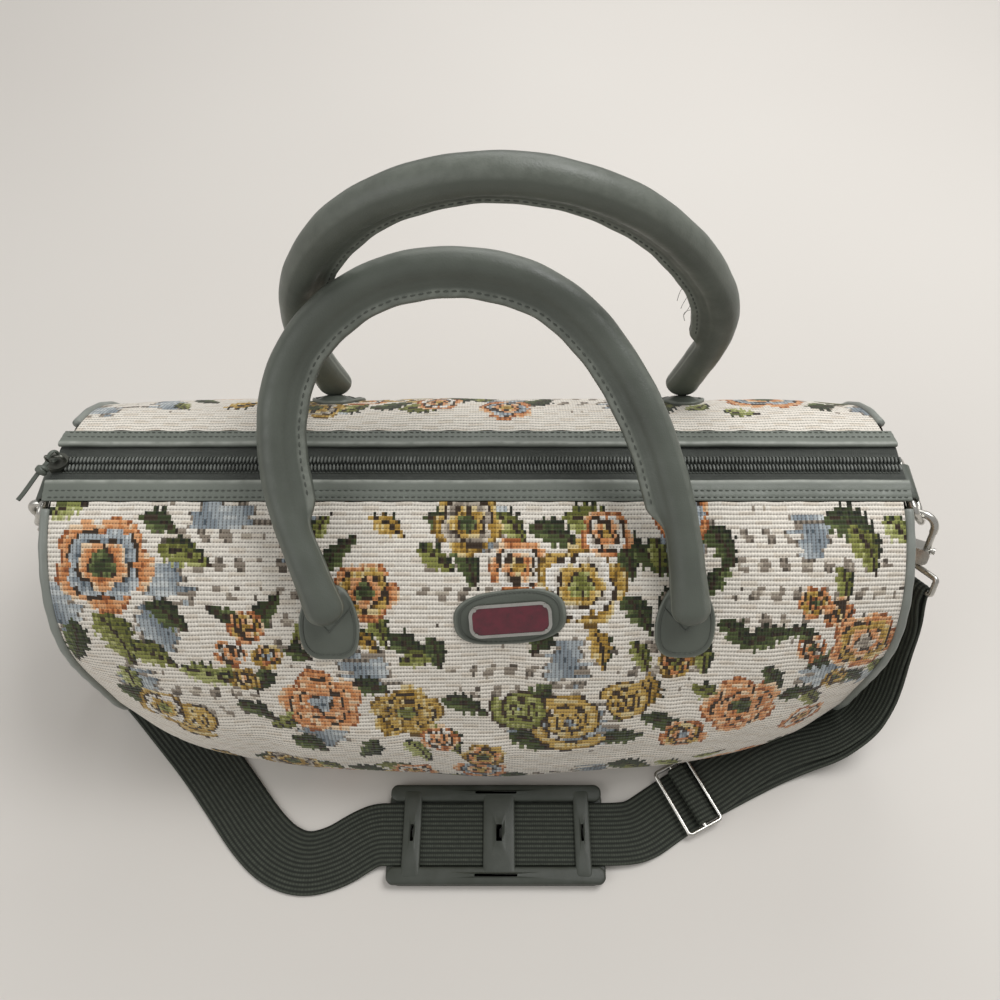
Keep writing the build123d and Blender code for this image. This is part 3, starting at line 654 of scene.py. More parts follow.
@dataclass(frozen=True)
class Rose:
    """A cabbage rose of three whorls of petals round a heart."""

    x: float
    s: float
    radius: float
    turn: float
    outer: Ramp
    inner: Ramp
    heart: Ramp

    def weave(self, canvas: Canvas) -> None:
        """Weave the rose from its outer petals inwards."""
        dx, ds = canvas.x - self.x, (canvas.s - self.s) * 1.05
        far = np.hypot(dx, ds)
        angle = np.arctan2(ds, dx)
        whorls = (
            (1.0, 5, self.outer, 0.0), (0.78, 4, self.inner, 0.6),
            (0.54, 5, self.outer, 1.4), (0.3, 3, self.heart, 0.4),
        )
        for size, petals, ramp, shift in whorls:
            swirl = np.abs(np.cos(petals * (angle - self.turn - shift) / 2 + 0.35 * far / self.radius))
            edge = self.radius * size * (0.74 + 0.26 * swirl**0.55)
            inside = far < edge
            depth = np.clip((edge - far) / (self.radius * 0.26), 0, 1)
            streak = 0.16 * np.sin(angle * 17 + far * 0.5)
            warp = 1.0 if ramp is Ramp.BLUE else 0.0
            canvas.paint(inside, ramp, np.clip(1.0 - 0.85 * depth + streak, 0, 1), warp)
            rim = inside & (edge - far < 1.7) & (np.sin(angle * 3 + self.turn * 5 + size * 9) > -0.25)
            canvas.paint(rim, Ramp.BROWN if size < 1 else ramp, 0.3 if size < 1 else 0.1)


@dataclass(frozen=True)
class Leaf:
    """A pointed leaf with a midrib and a jagged edge."""

    x: float
    s: float
    length: float
    width: float
    angle: float
    ramp: Ramp

    def weave(self, canvas: Canvas) -> None:
        """Weave the leaf from its stalk at x, s towards its angle in degrees."""
        turn = math.radians(self.angle)
        dx, ds = canvas.x - self.x, canvas.s - self.s
        along = dx * math.cos(turn) + ds * math.sin(turn)
        side = ds * math.cos(turn) - dx * math.sin(turn) + 0.12 * self.width * np.sin(along / self.length * 4)
        share = np.clip(along / self.length, 0, 1)
        half = self.width / 2 * np.sin(math.pi * share**0.75) * (1 + 0.22 * np.sin(along * 1.3))
        inside = (along > 0) & (along < self.length) & (np.abs(side) < half)
        light = 0.45 + 0.4 * side / max(self.width / 2, 1) + 0.15 * np.sin(along * 0.9 + np.abs(side) * 1.4)
        canvas.paint(inside, self.ramp, np.clip(light, 0, 1))
        canvas.paint(inside & (half - np.abs(side) < 1.3) & (side < 0), Ramp.DARK, 0.1)
        canvas.paint(inside & (np.abs(side) < 0.8) & (share > 0.1), Ramp.BROWN, 0.2)


@dataclass(frozen=True)
class Zone:
    """A soft-edged field between the flowers, such as the grey-blue one with upright lines."""

    x: float
    s: float
    wide: float
    high: float
    ramp: Ramp
    turn: float = 0.0

    def weave(self, canvas: Canvas) -> None:
        """Weave the field."""
        turn = math.radians(self.turn)
        dx, ds = canvas.x - self.x, canvas.s - self.s
        a = (dx * math.cos(turn) + ds * math.sin(turn)) / self.wide
        b = (ds * math.cos(turn) - dx * math.sin(turn)) / self.high
        ragged = 0.2 * np.sin(canvas.x * 0.31 + canvas.s * 0.17)
        ragged = ragged + 0.22 * np.sin(canvas.s * 0.9 + canvas.x * 0.05)
        far = np.hypot(a, b) + ragged
        light = 0.55 + 0.3 * np.sin(canvas.x * 0.21 - canvas.s * 0.13)
        if self.ramp is Ramp.TAUPE:
            veined = np.sin(canvas.x * 0.55 + 3 * np.sin(canvas.s * 0.12)) + np.sin(canvas.s * 0.4) > 0.75
            canvas.paint((far < 1) & veined, self.ramp, light * 0.6)
        else:
            canvas.paint(far < 1, self.ramp, light, 1.0)
            canvas.paint((far < 1) & (far > 0.86), Ramp.TAUPE, 0.2)


@dataclass(frozen=True)
class Scroll:
    """A curled acanthus scroll."""

    x: float
    s: float
    radius: float
    turn: float
    hand: int
    ramp: Ramp

    def weave(self, canvas: Canvas) -> None:
        """Weave the scroll as a band that coils inwards."""
        dx, ds = canvas.x - self.x, canvas.s - self.s
        far = np.hypot(dx, ds)
        angle = np.mod(self.hand * np.arctan2(ds, dx) - self.turn, 2 * math.pi)
        for lap in range(3):
            line = self.radius * math.exp(-0.62 * lap) * np.exp(-0.1 * angle)
            width = 3.8 * math.exp(-0.35 * lap) + 1.2 * np.abs(np.sin(angle * 4))
            gap = np.abs(far - line)
            canvas.paint(gap < width, self.ramp, np.clip(0.9 - gap / width * 0.7, 0, 1))
            canvas.paint((gap < width) & (gap > width - 1.3), Ramp.BROWN, 0.4)


P, O, L, D, M, B, T, W = (
    Ramp.PEACH, Ramp.OCHRE, Ramp.OLIVE, Ramp.DARK, Ramp.LIME, Ramp.BLUE, Ramp.TAUPE, Ramp.WHITE,
)
MOTIFS = (
    Zone(-150, 30, 26, 26, T), Zone(-105, 60, 16, 34, T), Zone(-12, 40, 22, 22, T), Zone(160, 42, 22, 30, T),
    Zone(205, 45, 24, 20, T), Zone(100, 90, 22, 18, T), Zone(-160, 120, 30, 20, T), Zone(20, 105, 30, 18, T),
    Zone(-172, 44, 15, 12, B, 20), Zone(-232, 60, 12, 16, B),
    Zone(-178, 70, 10, 16, B, -30), Zone(-140, 8, 20, 9, B),
    Zone(-98, 20, 11, 14, B), Zone(-78, 62, 9, 16, B), Zone(-62, 96, 15, 11, B, 20), Zone(6, 14, 10, 13, B),
    Zone(48, 92, 13, 16, B), Zone(62, 140, 15, 17, B), Zone(26, 132, 11, 14, B), Zone(112, 16, 13, 15, B),
    Zone(182, 20, 10, 13, B), Zone(150, 128, 12, 10, B),
    Zone(196, 104, 12, 14, B, 30), Zone(232, 116, 14, 10, B),
    Zone(-90, 146, 14, 10, B), Zone(-196, 108, 12, 12, B),
    Leaf(-186, 8, 24, 13, 20, D), Leaf(-176, 26, 34, 15, 15, L), Leaf(-182, 56, 30, 13, 35, D),
    Leaf(-212, 62, 40, 22, 60, L), Leaf(-226, 66, 36, 16, 100, D), Leaf(-196, 84, 30, 16, 20, L),
    Leaf(-204, 98, 26, 14, 80, M), Leaf(-236, 8, 22, 12, -20, M), Leaf(-214, 118, 30, 15, 40, D),
    Leaf(-128, 66, 24, 10, 200, D), Leaf(-122, 72, 26, 11, -60, D), Leaf(-118, 92, 24, 11, 110, D),
    Leaf(-134, 96, 20, 9, 160, L), Leaf(-108, 84, 18, 10, 20, D), Leaf(-140, 122, 30, 12, 30, D),
    Leaf(-104, 128, 26, 12, 140, L), Leaf(-112, 150, 26, 14, 30, D), Leaf(-92, 24, 22, 9, -60, L),
    Leaf(-86, 40, 30, 12, -50, D), Leaf(-92, 62, 24, 11, 120, L), Leaf(-72, 74, 22, 11, 30, O),
    Leaf(-50, 74, 28, 14, 40, D), Leaf(-44, 92, 24, 12, -20, L), Leaf(-28, 76, 22, 12, 70, D),
    Leaf(-62, 60, 26, 12, 60, L), Leaf(-74, 106, 26, 12, 10, D), Leaf(-22, 118, 30, 13, 20, D),
    Leaf(-26, 138, 30, 14, 60, L), Leaf(-62, 148, 26, 14, 110, D), Leaf(-44, 152, 30, 13, 60, M),
    Leaf(-30, 8, 30, 15, 20, D), Leaf(-14, 22, 30, 14, 60, D), Leaf(-34, 26, 26, 12, 30, L),
    Leaf(8, 6, 26, 13, 40, L), Leaf(28, 14, 30, 15, 20, D), Leaf(46, 8, 40, 18, 15, L),
    Leaf(70, 14, 34, 18, 60, D), Leaf(84, 26, 30, 15, 30, D), Leaf(78, 52, 30, 14, 50, D),
    Leaf(62, 70, 28, 13, 70, O), Leaf(38, 66, 24, 12, 110, D), Leaf(14, 52, 22, 11, 120, L),
    Leaf(26, 70, 26, 11, 160, D), Leaf(84, 78, 26, 11, 60, L), Leaf(96, 100, 30, 13, 90, O),
    Leaf(40, 106, 26, 12, 130, D), Leaf(74, 110, 28, 12, 70, L), Leaf(16, 148, 30, 14, 20, D),
    Leaf(70, 152, 30, 14, -10, D), Leaf(94, 132, 30, 14, 20, D), Leaf(100, 60, 18, 9, -60, T),
    Leaf(126, 52, 24, 11, -60, D), Leaf(132, 66, 28, 12, 40, D), Leaf(120, 78, 24, 12, 70, L),
    Leaf(146, 82, 34, 13, -20, D), Leaf(160, 94, 26, 12, 60, D), Leaf(120, 108, 28, 12, 30, L),
    Leaf(118, 134, 28, 15, 110, D), Leaf(172, 120, 28, 12, -10, D), Leaf(186, 116, 26, 12, 50, L),
    Leaf(190, 8, 34, 20, 25, D), Leaf(204, 14, 30, 17, 60, L), Leaf(222, 10, 22, 14, 40, M),
    Leaf(196, 36, 22, 10, 70, L), Leaf(172, 70, 22, 9, 30, D), Leaf(204, 86, 24, 10, 150, D),
    Leaf(106, 4, 26, 14, 30, O), Leaf(124, 14, 28, 15, 50, D), Leaf(96, 20, 22, 11, 80, L),
    Leaf(206, 106, 26, 12, 30, D), Leaf(226, 98, 22, 11, 60, L),
    Leaf(-168, 96, 34, 14, 20, M), Leaf(-60, 8, 26, 11, 30, O),
    Scroll(52, 134, 24, 0.6, 1, O), Scroll(24, 126, 15, 2.6, -1, L), Scroll(84, 120, 13, 3.4, 1, O),
    Scroll(-168, 140, 16, 1.0, 1, O),
    Rose(-205, 35, 29, 0.3, P, B, D), Rose(-90, 120, 25, 0.9, P, P, B), Rose(-62, 50, 19, 0.2, P, O, D),
    Rose(-42, 128, 22, 1.2, O, O, L), Rose(-6, 12, 20, 0.5, O, T, D), Rose(22, 36, 17, 1.9, P, W, O),
    Rose(56, 46, 26, 0.0, O, W, L), Rose(70, 18, 15, 0.4, P, W, O),
    Rose(112, 8, 17, 0.8, P, B, O), Rose(151, 124, 24, 0.7, P, P, D),
    Rose(217, 82, 22, 0.2, P, O, T), Rose(-24, 150, 12, 0.1, P, W, P), Rose(120, 148, 15, 0.4, P, O, B),
    Rose(-128, 70, 11, 0.5, P, O, O), Rose(-118, 88, 9, 0.9, O, P, B), Rose(-138, 86, 10, 1.5, P, W, P),
    Rose(-132, 104, 9, 0.4, O, O, P), Rose(184, 56, 10, 0.6, P, O, D), Rose(198, 62, 10, 1.2, P, P, O),
    Rose(186, 84, 9, 0.2, P, W, D), Rose(206, 110, 9, 1.8, O, O, D), Rose(110, 92, 11, 1.1, O, P, L),
    Rose(-186, 132, 18, 0.3, O, W, L), Rose(2, 166, 14, 0.8, O, P, D), Rose(196, 150, 16, 0.6, P, W, O),
)
REPEAT = 176.0


def weave(along: np.ndarray, across: np.ndarray, slide: float, drop: float) -> Canvas:
    """Weave the pattern over a panel's cells.

    Args:
        along: Each cell's place along the bag in mm.
        across: Each cell's distance from the trim in mm.
        slide: How far the cloth is moved along the bag.
        drop: How far it is moved down.

    Returns:
        The woven cells.
    """
    canvas = Canvas(along + slide, across + drop)
    canvas.x = np.mod(canvas.x + 240, 480) - 240
    lower = canvas.s > REPEAT
    canvas.x = np.where(lower, np.mod(canvas.x + 352, 480) - 240, canvas.x)
    canvas.s = np.where(lower, canvas.s - REPEAT, canvas.s)
    for motif in MOTIFS:
        motif.weave(canvas)
    return canvas

# The tapestry body


@dataclass(frozen=True)
class Crease:
    """A soft fold of the cloth: a line on a panel, its width and how far it sinks."""

    start: tuple
    end: tuple
    width: float
    depth: float


CREASES = {
    -1: (
        Crease((86, 60), (104, 170), 9, 2.4), Crease((112, 90), (126, 180), 8, 1.6),
        Crease((-60, 120), (-20, 185), 10, 2.0),
        Crease((-150, 60), (-120, 180), 12, 2.0), Crease((10, 80), (30, 190), 12, 1.8),
        Crease((-215, 70), (-180, 160), 10, 1.5),
        Crease((175, 70), (165, 170), 10, 1.7), Crease((-100, 130), (60, 150), 9, 1.5),
        Crease((60, 110), (180, 128), 8, 1.4),
        Crease((-200, 120), (-90, 150), 9, 1.6), Crease((40, 176), (150, 160), 8, 1.8),
        Crease((-96, 66), (-84, 110), 6, -1.2),
        Crease((118, 66), (108, 112), 6, -1.2),
    ),
    1: (
        Crease((-120, 60), (-80, 170), 12, 2.0), Crease((60, 70), (110, 170), 12, 2.2),
        Crease((-30, 100), (20, 190), 14, 1.8),
        Crease((170, 60), (150, 160), 10, 1.6), Crease((-200, 60), (-170, 150), 10, 1.5),
    ),
}


def ease(value: np.ndarray) -> np.ndarray:
    """Return a smooth step of a value clipped to 0 to 1."""
    value = np.clip(value, 0, 1)
    return value * value * (3 - 2 * value)


class Skin:
    """One side of the bag as a smooth grid, with the folds of its cloth."""

    def __init__(self, side: int, rows: int = 315, columns: int = 221) -> None:
        """Lay the grid.

        Args:
            side: -1 for the front, 1 for the back.
            rows: Points along the bag.
            columns: Points from the trim to the foot.
        """
        self.side = side
        self.place = np.linspace(-PANEL_END, PANEL_END, rows)
        yz = np.array([outline(side, x, columns) for x in self.place])
        points = np.concatenate([np.broadcast_to(self.place[:, None, None], yz.shape[:2] + (1,)), yz], -1)
        steps = np.linalg.norm(np.diff(yz, axis=1), axis=2)
        self.run = np.concatenate([np.zeros((rows, 1)), np.cumsum(steps, 1)], 1)
        normal = unit(np.cross(np.gradient(points, axis=0), np.gradient(points, axis=1)))
        self.normal = normal * np.where(normal[:, :1, 2:] < 0, -1, 1)
        self.points = points + self.normal * self.fold()[..., None]
        self.points[..., 2] = np.maximum(self.points[..., 2], 0.0004)

    def fold(self) -> np.ndarray:
        """Return how far the cloth lies out of its smooth shape, in metres."""
        x = self.place[:, None] / MM
        s = self.run / MM
        total = s[:, -1:]
        depth = 0.9 * np.sin(x / 31 + 1.1) * np.sin(s / 27 + 0.4) + 0.6 * np.sin(x / 17 + s / 39 + 2)
        depth = depth + 0.35 * np.sin(x / 9.5 - s / 13 + 1) * np.sin(s / 21)
        for crease in CREASES[self.side]:
            (x0, s0), (x1, s1) = crease.start, crease.end
            length = math.hypot(x1 - x0, s1 - s0)
            ux, us = (x1 - x0) / length, (s1 - s0) / length
            along = ((x - x0) * ux + (s - s0) * us) / length
            side = (s - s0) * ux - (x - x0) * us + 3 * np.sin(along * 5)
            ends = ease((along + 0.15) / 0.3) * ease((1.15 - along) / 0.3)
            groove = np.exp(-(side / crease.width) ** 2) - 0.5 * np.exp(-(side / crease.width / 2.2) ** 2)
            depth = depth - crease.depth * ends * groove
        seam = ease(s / 22) * ease((total - s) / 60)
        pucker = 0.5 * np.sin(x / 3.4) * np.exp(-s / 7)
        ends = ease((PANEL_END - np.abs(self.place[:, None])) / 0.03)
        return (depth * seam * ends + pucker * ends) * MM

    def at(self, x, s, lift=0.0) -> tuple:
        """Return points and normals on the cloth.

        Args:
            x: Places along the bag in metres.
            s: Distances from the trim in metres.
            lift: Heights off the cloth in metres.

        Returns:
            The points and the normals.
        """
        x, s, lift = np.broadcast_arrays(np.asarray(x, float), s, lift)
        i = np.clip((x - self.place[0]) / (self.place[1] - self.place[0]), 0, len(self.place) - 1.001)
        last = self.run.shape[1] - 1
        j = np.clip(s / self.run[len(self.place) // 2, -1] * last, 0, last - 0.001)
        a, b = i.astype(int), j.astype(int)
        u, v = (i - a)[..., None], (j - b)[..., None]
        found = []
        for values in (self.points, self.normal):
            low = values[a, b] * (1 - u) + values[a + 1, b] * u
            high = values[a, b + 1] * (1 - u) + values[a + 1, b + 1] * u
            found.append(low * (1 - v) + high * v)
        normal = unit(found[1])
        return found[0] + normal * lift[..., None], normal

    def find(self, point: Sequence) -> tuple:
        """Return the place along the bag and the distance from the trim nearest to a point."""
        far = np.linalg.norm(self.points - np.asarray(point), axis=-1)
        i, j = np.unravel_index(int(far.argmin()), far.shape)
        share = j / (self.run.shape[1] - 1)
        return float(self.place[i]), float(share * self.run[len(self.place) // 2, -1])


SKINS = {-1: Skin(-1), 1: Skin(1)}


def colour_cells(piece: bpy.types.Object, canvas: Canvas, corners: int) -> None:
    """Store each cell's yarn and its warp or weft face on the mesh.

    Args:
        piece: The panel.
        canvas: Its woven cells, one for each face.
        corners: Corners of each face.
    """
    colours = np.repeat(canvas.colours(), corners, axis=0).astype(np.float32)
    layer = piece.data.color_attributes.new("yarn", "FLOAT_COLOR", "CORNER")
    layer.data.foreach_set("color", colours.ravel())
    warp = piece.data.attributes.new("warp", "FLOAT", "FACE")
    warp.data.foreach_set("value", canvas.warp.astype(np.float32))


@dataclass
class Body:
    """The tapestry body: front, back and two end panels with their pipings."""

    dome: float = 0.003
    piping: float = 0.0025

    def build(self) -> None:
        """Make the panels and pipings."""
        for name, side, slide, drop in (("front", -1, 0, 0), ("back", 1, 96, -18)):
            self.panel(name, SKINS[side], slide, drop)
            self.base(name, SKINS[side], slide, drop)
        for name, side in (("left", -1), ("right", 1)):
            self.end(name, side)

    def panel(self, name: str, skin: Skin, slide: float, drop: float) -> None:
        """Make the front or back panel with its woven pattern."""
        rows, columns = skin.run.shape
        faces = grid_faces(rows, columns, flip=skin.side < 0)
        place = np.broadcast_to(skin.place[:, None], skin.run.shape)
        uv = np.stack([place, skin.run], -1)
        piece = make(f"tapestry_{name}", skin.points, faces, "tapestry", uv)
        middle = (uv[:-1, :-1] + uv[1:, 1:]) / 2 / MM
        middle = middle.reshape(-1, 2)
        colour_cells(piece, weave(middle[:, 0], middle[:, 1], slide, drop), 4)
        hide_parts(f"{name}_panel")
        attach(piece, "root")

    def base(self, name: str, skin: Skin, slide: float, drop: float) -> None:
        """Make the flat cloth from the panel's foot to the seam under the bag."""
        foot = skin.points[:, -1]
        seam = np.column_stack([foot[:, 0], np.full(len(foot), SEAM_PLACE), foot[:, 2]])
        share = np.linspace(0, 1, 28)[None, :, None]
        points = foot[:, None] + (seam - foot)[:, None] * share
        points[..., 2] += 0.0008 * np.exp(-((points[..., 1] - SEAM_PLACE) / 0.002) ** 2)
        run = skin.run[:, -1:] + np.abs(points[..., 1] - foot[:, None, 1])
        uv = np.stack([points[..., 0], run], -1)
        faces = grid_faces(*run.shape, flip=skin.side < 0)
        piece = make(f"tapestry_base_{name}", points, faces, "tapestry", uv)
        middle = ((uv[:-1, :-1] + uv[1:, 1:]) / 2 / MM).reshape(-1, 2)
        colour_cells(piece, weave(middle[:, 0], middle[:, 1], slide, drop), 4)
        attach(piece, "root")

    def rim(self) -> np.ndarray:
        """Return the end's outline, y and z, from the front trim down and up to the back trim."""
        front = outline(-1, PANEL_END, 150)
        back = outline(1, PANEL_END, 150)
        foot = front[-1] + (back[-1] - front[-1]) * np.linspace(0, 1, 42)[1:-1, None]
        return np.vstack([front, foot, back[::-1]])

    def end(self, name: str, side: int) -> None:
        """Make one domed end panel and its piping."""
        rim = self.rim()
        middle = np.array([0.0, 0.092])
        shares = np.linspace(1, 0.02, 48)
        inner = rim + unit(middle - rim) * 0.0022
        rings = []
        for share in shares:
            ring = middle + (inner - middle) * share
            ring[:, 1] = np.minimum(ring[:, 1], 0.1745)
            out = PANEL_END + 0.0032 + self.dome * (1 - share**5)
            rings.append(np.column_stack([np.full(len(ring), side * out), ring]))
        points = np.array(rings)
        faces = grid_faces(len(shares), len(rim), True, side > 0)
        uv = points[..., 1:]
        piece = make(f"tapestry_end_{name}", points, faces, "tapestry", uv)
        centres = points.reshape(-1, 3)[faces].mean(1)[:, 1:] / MM
        colour_cells(piece, weave(centres[:, 0] + 20 * side, 176 - centres[:, 1], 60, 0), 4)
        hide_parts(f"end_panel_{name}")
        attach(piece, "root")
        end = np.full(len(rim), side * (BAG_LENGTH / 2 - self.piping))
        path = np.column_stack([end, rim + unit(middle - rim) * 0.0006])
        keep = path[:, 2] < ARCH_CENTRE + ARCH_RADIUS * math.cos(TRIM_END) - 0.0015
        path = Curve(path[keep][::6]).even(300)
        path[:, 2] = np.maximum(path[:, 2], self.piping * 1.06)
        tangent = unit(np.gradient(path, axis=0))
        first = np.broadcast_to([1.0, 0, 0], path.shape)
        turn = np.linspace(0, 2 * math.pi, 14, endpoint=False)
        wobble = 1 + 0.05 * np.sin(np.arange(300) * 0.7)[:, None]
        profile = self.piping * np.stack([np.cos(turn) * wobble, np.sin(turn) * wobble], -1)
        tube = sweep(f"leather_piping_{name}", path, first, np.cross(tangent, first), profile, "piping")
        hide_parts(f"piping_{name}")
        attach(tube, "root")


# The zip


# The trim's section: distance from the zip's edge, height off the arch, in mm
TRIM_SECTION = (
    (2.2, -1.9), (0.9, -1.8), (0.2, -1.4), (-0.15, -0.8), (-0.2, -0.1), (0.0, 0.5), (0.5, 1.0), (1.2, 1.25),
    (2.0, 1.25), (3.0, 1.05), (4.2, 0.9), (5.4, 0.85), (6.0, 0.72), (6.6, 0.55), (7.2, 0.72), (8.2, 0.85),
    (9.2, 0.8), (9.9, 0.68), (10.5, 0.5), (11.1, 0.6), (11.8, 0.6), (12.3, 0.4), (12.5, 0.0), (12.4, -0.5),
)


@dataclass
class Zip:
    """The zip: two folded leather trims, twill tapes, coil teeth, slider and leather thong."""

    tape_top: float = 0.1787
    tape_thickness: float = 0.0009
    tooth_pitch: float = 0.0021
    stitch_rows: tuple = (0.0066, 0.0105)

    def build(self) -> None:
        """Make all pieces of the zip."""
        for name, side in (("front", -1), ("back", 1)):
            self.trim(name, side)
            self.tape(name, side)
            self.teeth(name, side)
        self.thong()

    def trim(self, name: str, side: int) -> None:
        """Make one leather trim with its two rows of stitches."""
        x = np.linspace(-BAG_LENGTH / 2, BAG_LENGTH / 2, 400)
        w, h = np.array(TRIM_SECTION).T * MM
        angle = (ZIP_GAP / 2 + w[None, :]) / ARCH_RADIUS
        ripple = 0.25 * MM * np.sin(x / 0.021 + side)[:, None] + 0.12 * MM * np.sin(x / 0.0054)[:, None]
        puckers = 0.12 * MM * np.sin(x * 2 * math.pi / 0.0034)[:, None]
        puckers = puckers * np.exp(-((w[None, :] - 0.0085) / 0.003) ** 2)
        radius = ARCH_RADIUS + h[None, :] + ripple * np.clip(1 - w / 0.012, 0, 1) + puckers
        y = side * radius * np.sin(angle)
        z = ARCH_CENTRE + radius * np.cos(angle)
        points = np.stack([np.broadcast_to(x[:, None], y.shape), y, z], -1)
        piece = make(f"leather_trim_{name}", points, grid_faces(len(x), len(w), flip=side < 0), "trim")
        set_wear_and_highlight(piece, np.broadcast_to(np.exp(-((w / MM - 1.2) / 1.0) ** 2) * (h > 0), y.shape))
        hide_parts(f"trim_{name}")
        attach(piece, "root")
        for number, row in enumerate(self.stitch_rows):
            a = (ZIP_GAP / 2 + row) / ARCH_RADIUS
            radius = ARCH_RADIUS + 0.00072
            place = (side * radius * math.sin(a), ARCH_CENTRE + radius * math.cos(a))
            line = np.column_stack([x, np.broadcast_to(place, (len(x), 2))])
            up = np.broadcast_to([0, side * math.sin(a), math.cos(a)], line.shape)
            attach(stitch_row(f"trim_stitches_{name}_{number + 1}", line[2:-2], up[2:-2]), "root")

    def tape(self, name: str, side: int) -> None:
        """Make one twill tape."""
        x = np.linspace(-BAG_LENGTH / 2, BAG_LENGTH / 2, 200)
        across = np.linspace(0.5, 15.4, 16) * MM
        top = self.tape_top + 0.0004 * np.sin(x / 0.033)[:, None] * np.clip((across - 0.005) / 0.005, 0, 1)
        top = top - 0.0007 * np.clip((across - 0.0115) / 0.004, 0, 1)
        upper = np.stack(np.broadcast_arrays(x[:, None], side * across[None, :], top), -1)
        lower = upper[:, ::-1] - np.array([0, 0, self.tape_thickness])
        points = np.concatenate([upper, lower], 1)
        width = np.concatenate([across, across[::-1]])
        uv = np.stack(np.broadcast_arrays(width[None, :], x[:, None]), -1)
        faces = grid_faces(len(x), points.shape[1], True, side < 0)
        piece = make(f"twill_tape_{name}", points, faces, "tape", uv)
        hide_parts(f"zip_tape_{name}")
        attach(piece, "root")

    def teeth(self, name: str, side: int) -> None:
        """Make the coil's teeth on one tape, with the row of stitches that holds them."""
        x = np.arange(-0.2385, 0.2385, self.tooth_pitch) + (self.tooth_pitch / 2 if side > 0 else 0)
        count = len(x)
        centres = np.column_stack([x, np.full(count, side * 0.00262), np.full(count, self.tape_top + 0.0013)])
        along = np.tile([0.00012, side * 0.00205, 0.0], (count, 1))
        wide = np.tile([0.00066, 0, 0], (count, 1))
        high = np.tile([0, 0, 0.00112], (count, 1))
        piece = beads(f"zip_teeth_{name}", centres, along, wide, high, "coil", 0.7, 8, 7)
        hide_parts(f"zip_coil_{name}")
        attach(piece, "root")
        place = (side * 0.0056, self.tape_top + 0.0003)
        line = np.column_stack([np.linspace(-0.2385, 0.2385, 300), np.broadcast_to(place, (300, 2))])
        up = np.broadcast_to([0, 0, 1.0], line.shape)
        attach(stitch_row(f"coil_stitches_{name}", line, up, 0.0021, 0.0016, 0.0008), "root")

    def thong(self) -> None:
        """Make the leather thong: its loop round the bail, knot and flat tail."""
        turn, drop = math.radians(30), math.radians(10)
        way = np.array([-math.sin(turn) * math.cos(drop), -math.cos(turn) * math.cos(drop), -math.sin(drop)])
        axis = np.array([-math.cos(turn), math.sin(turn), 0.0])
        up = np.cross(axis, way)
        slider_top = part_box("zip_slider")[1].z
        centre = np.array([-0.237, 0, slider_top - 0.0009])
        lap = np.radians(np.linspace(35, 325, 60))
        loop = centre + 0.0031 * (np.cos(lap)[:, None] * way + np.sin(lap)[:, None] * up)
        tail = np.linspace(0.0042, 0.0300, 30)[:, None]
        bend = 0.0006 * np.sin(tail / 0.030 * 5)
        strip = centre + tail * way + bend * axis
        shape = np.radians(np.linspace(0, 360, 12, endpoint=False))
        flat = np.column_stack([0.0014 * np.cos(shape), 0.00085 * np.sin(shape)])
        wide = np.broadcast_to(axis, loop.shape)
        ring = sweep("thong_loop", loop, wide, unit(loop - centre), flat * [0.8, 1], "handle")
        wide, high = np.broadcast_to(axis, strip.shape), np.broadcast_to(up, strip.shape)
        lace = sweep("thong_tail", strip, wide, high, flat, "handle")
        knot = centre + way * 0.0096
        wraps = []
        for number, (shift, size) in enumerate(((-0.0012, 0.0029), (0.0012, 0.0031), (0.0001, 0.0034))):
            lap = np.radians(np.linspace(0, 360, 40))
            lean = unit(way + 0.35 * (number - 1) * axis)
            other = unit(np.cross(lean, axis))
            turn = np.cos(lap)[:, None] * unit(np.cross(other, lean)) + np.sin(lap)[:, None] * other
            wraps.append(knot + shift * way + size * 0.78 * turn)
        line = Curve(np.vstack([wrap[::5] for wrap in wraps])).even(160)
        tangent = unit(np.gradient(line, axis=0))
        out = unit(line - knot)
        turns = sweep("thong_knot", line, unit(np.cross(tangent, out)), out, flat * 0.9, "handle")
        reach = way[None] * 0.0030, axis[None] * 0.0026, up[None] * 0.0026
        heart = beads("thong_knot_heart", knot[None], *reach, "handle", 1, 12, 8)
        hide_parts("pull_thong")
        for piece in (ring, lace, turns, heart):
            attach(piece, "thong")

# Handles, tabs and badge

FRONT_ROUTE = (
    (-99, 0), (-124, 70), (-119, 130), (-80, 170), (-25, 181), (30, 165), (70, 112), (90, 50), (96, 0),
)
BACK_ROUTE = (
    (-110, 0), (-120, 60), (-108, 118), (-70, 168), (-10, 189), (50, 172), (95, 128), (122, 72), (110, 0),
)


def soft_route(route: Sequence, count: int) -> np.ndarray:
    """Return even points along a route whose corners are rounded from mid-run to mid-run."""
    p = np.asarray(route, float)
    middles = (p[:-1] + p[1:]) / 2
    t = np.linspace(0, 1, 24)[:, None]
    pieces = [p[:1]]
    for start, corner, end in zip(middles, p[1:-1], middles[1:]):
        pieces.append(start * (1 - t) ** 2 + 2 * corner * t * (1 - t) + end * t**2)
    pieces.append(p[-1:])
    line = np.vstack(pieces)
    run = np.r_[0, np.cumsum(np.linalg.norm(np.diff(line, axis=0), axis=1))]
    want = np.linspace(0, run[-1], count)
    return np.stack([np.interp(want, run, line[:, k]) for k in range(line.shape[1])], 1)


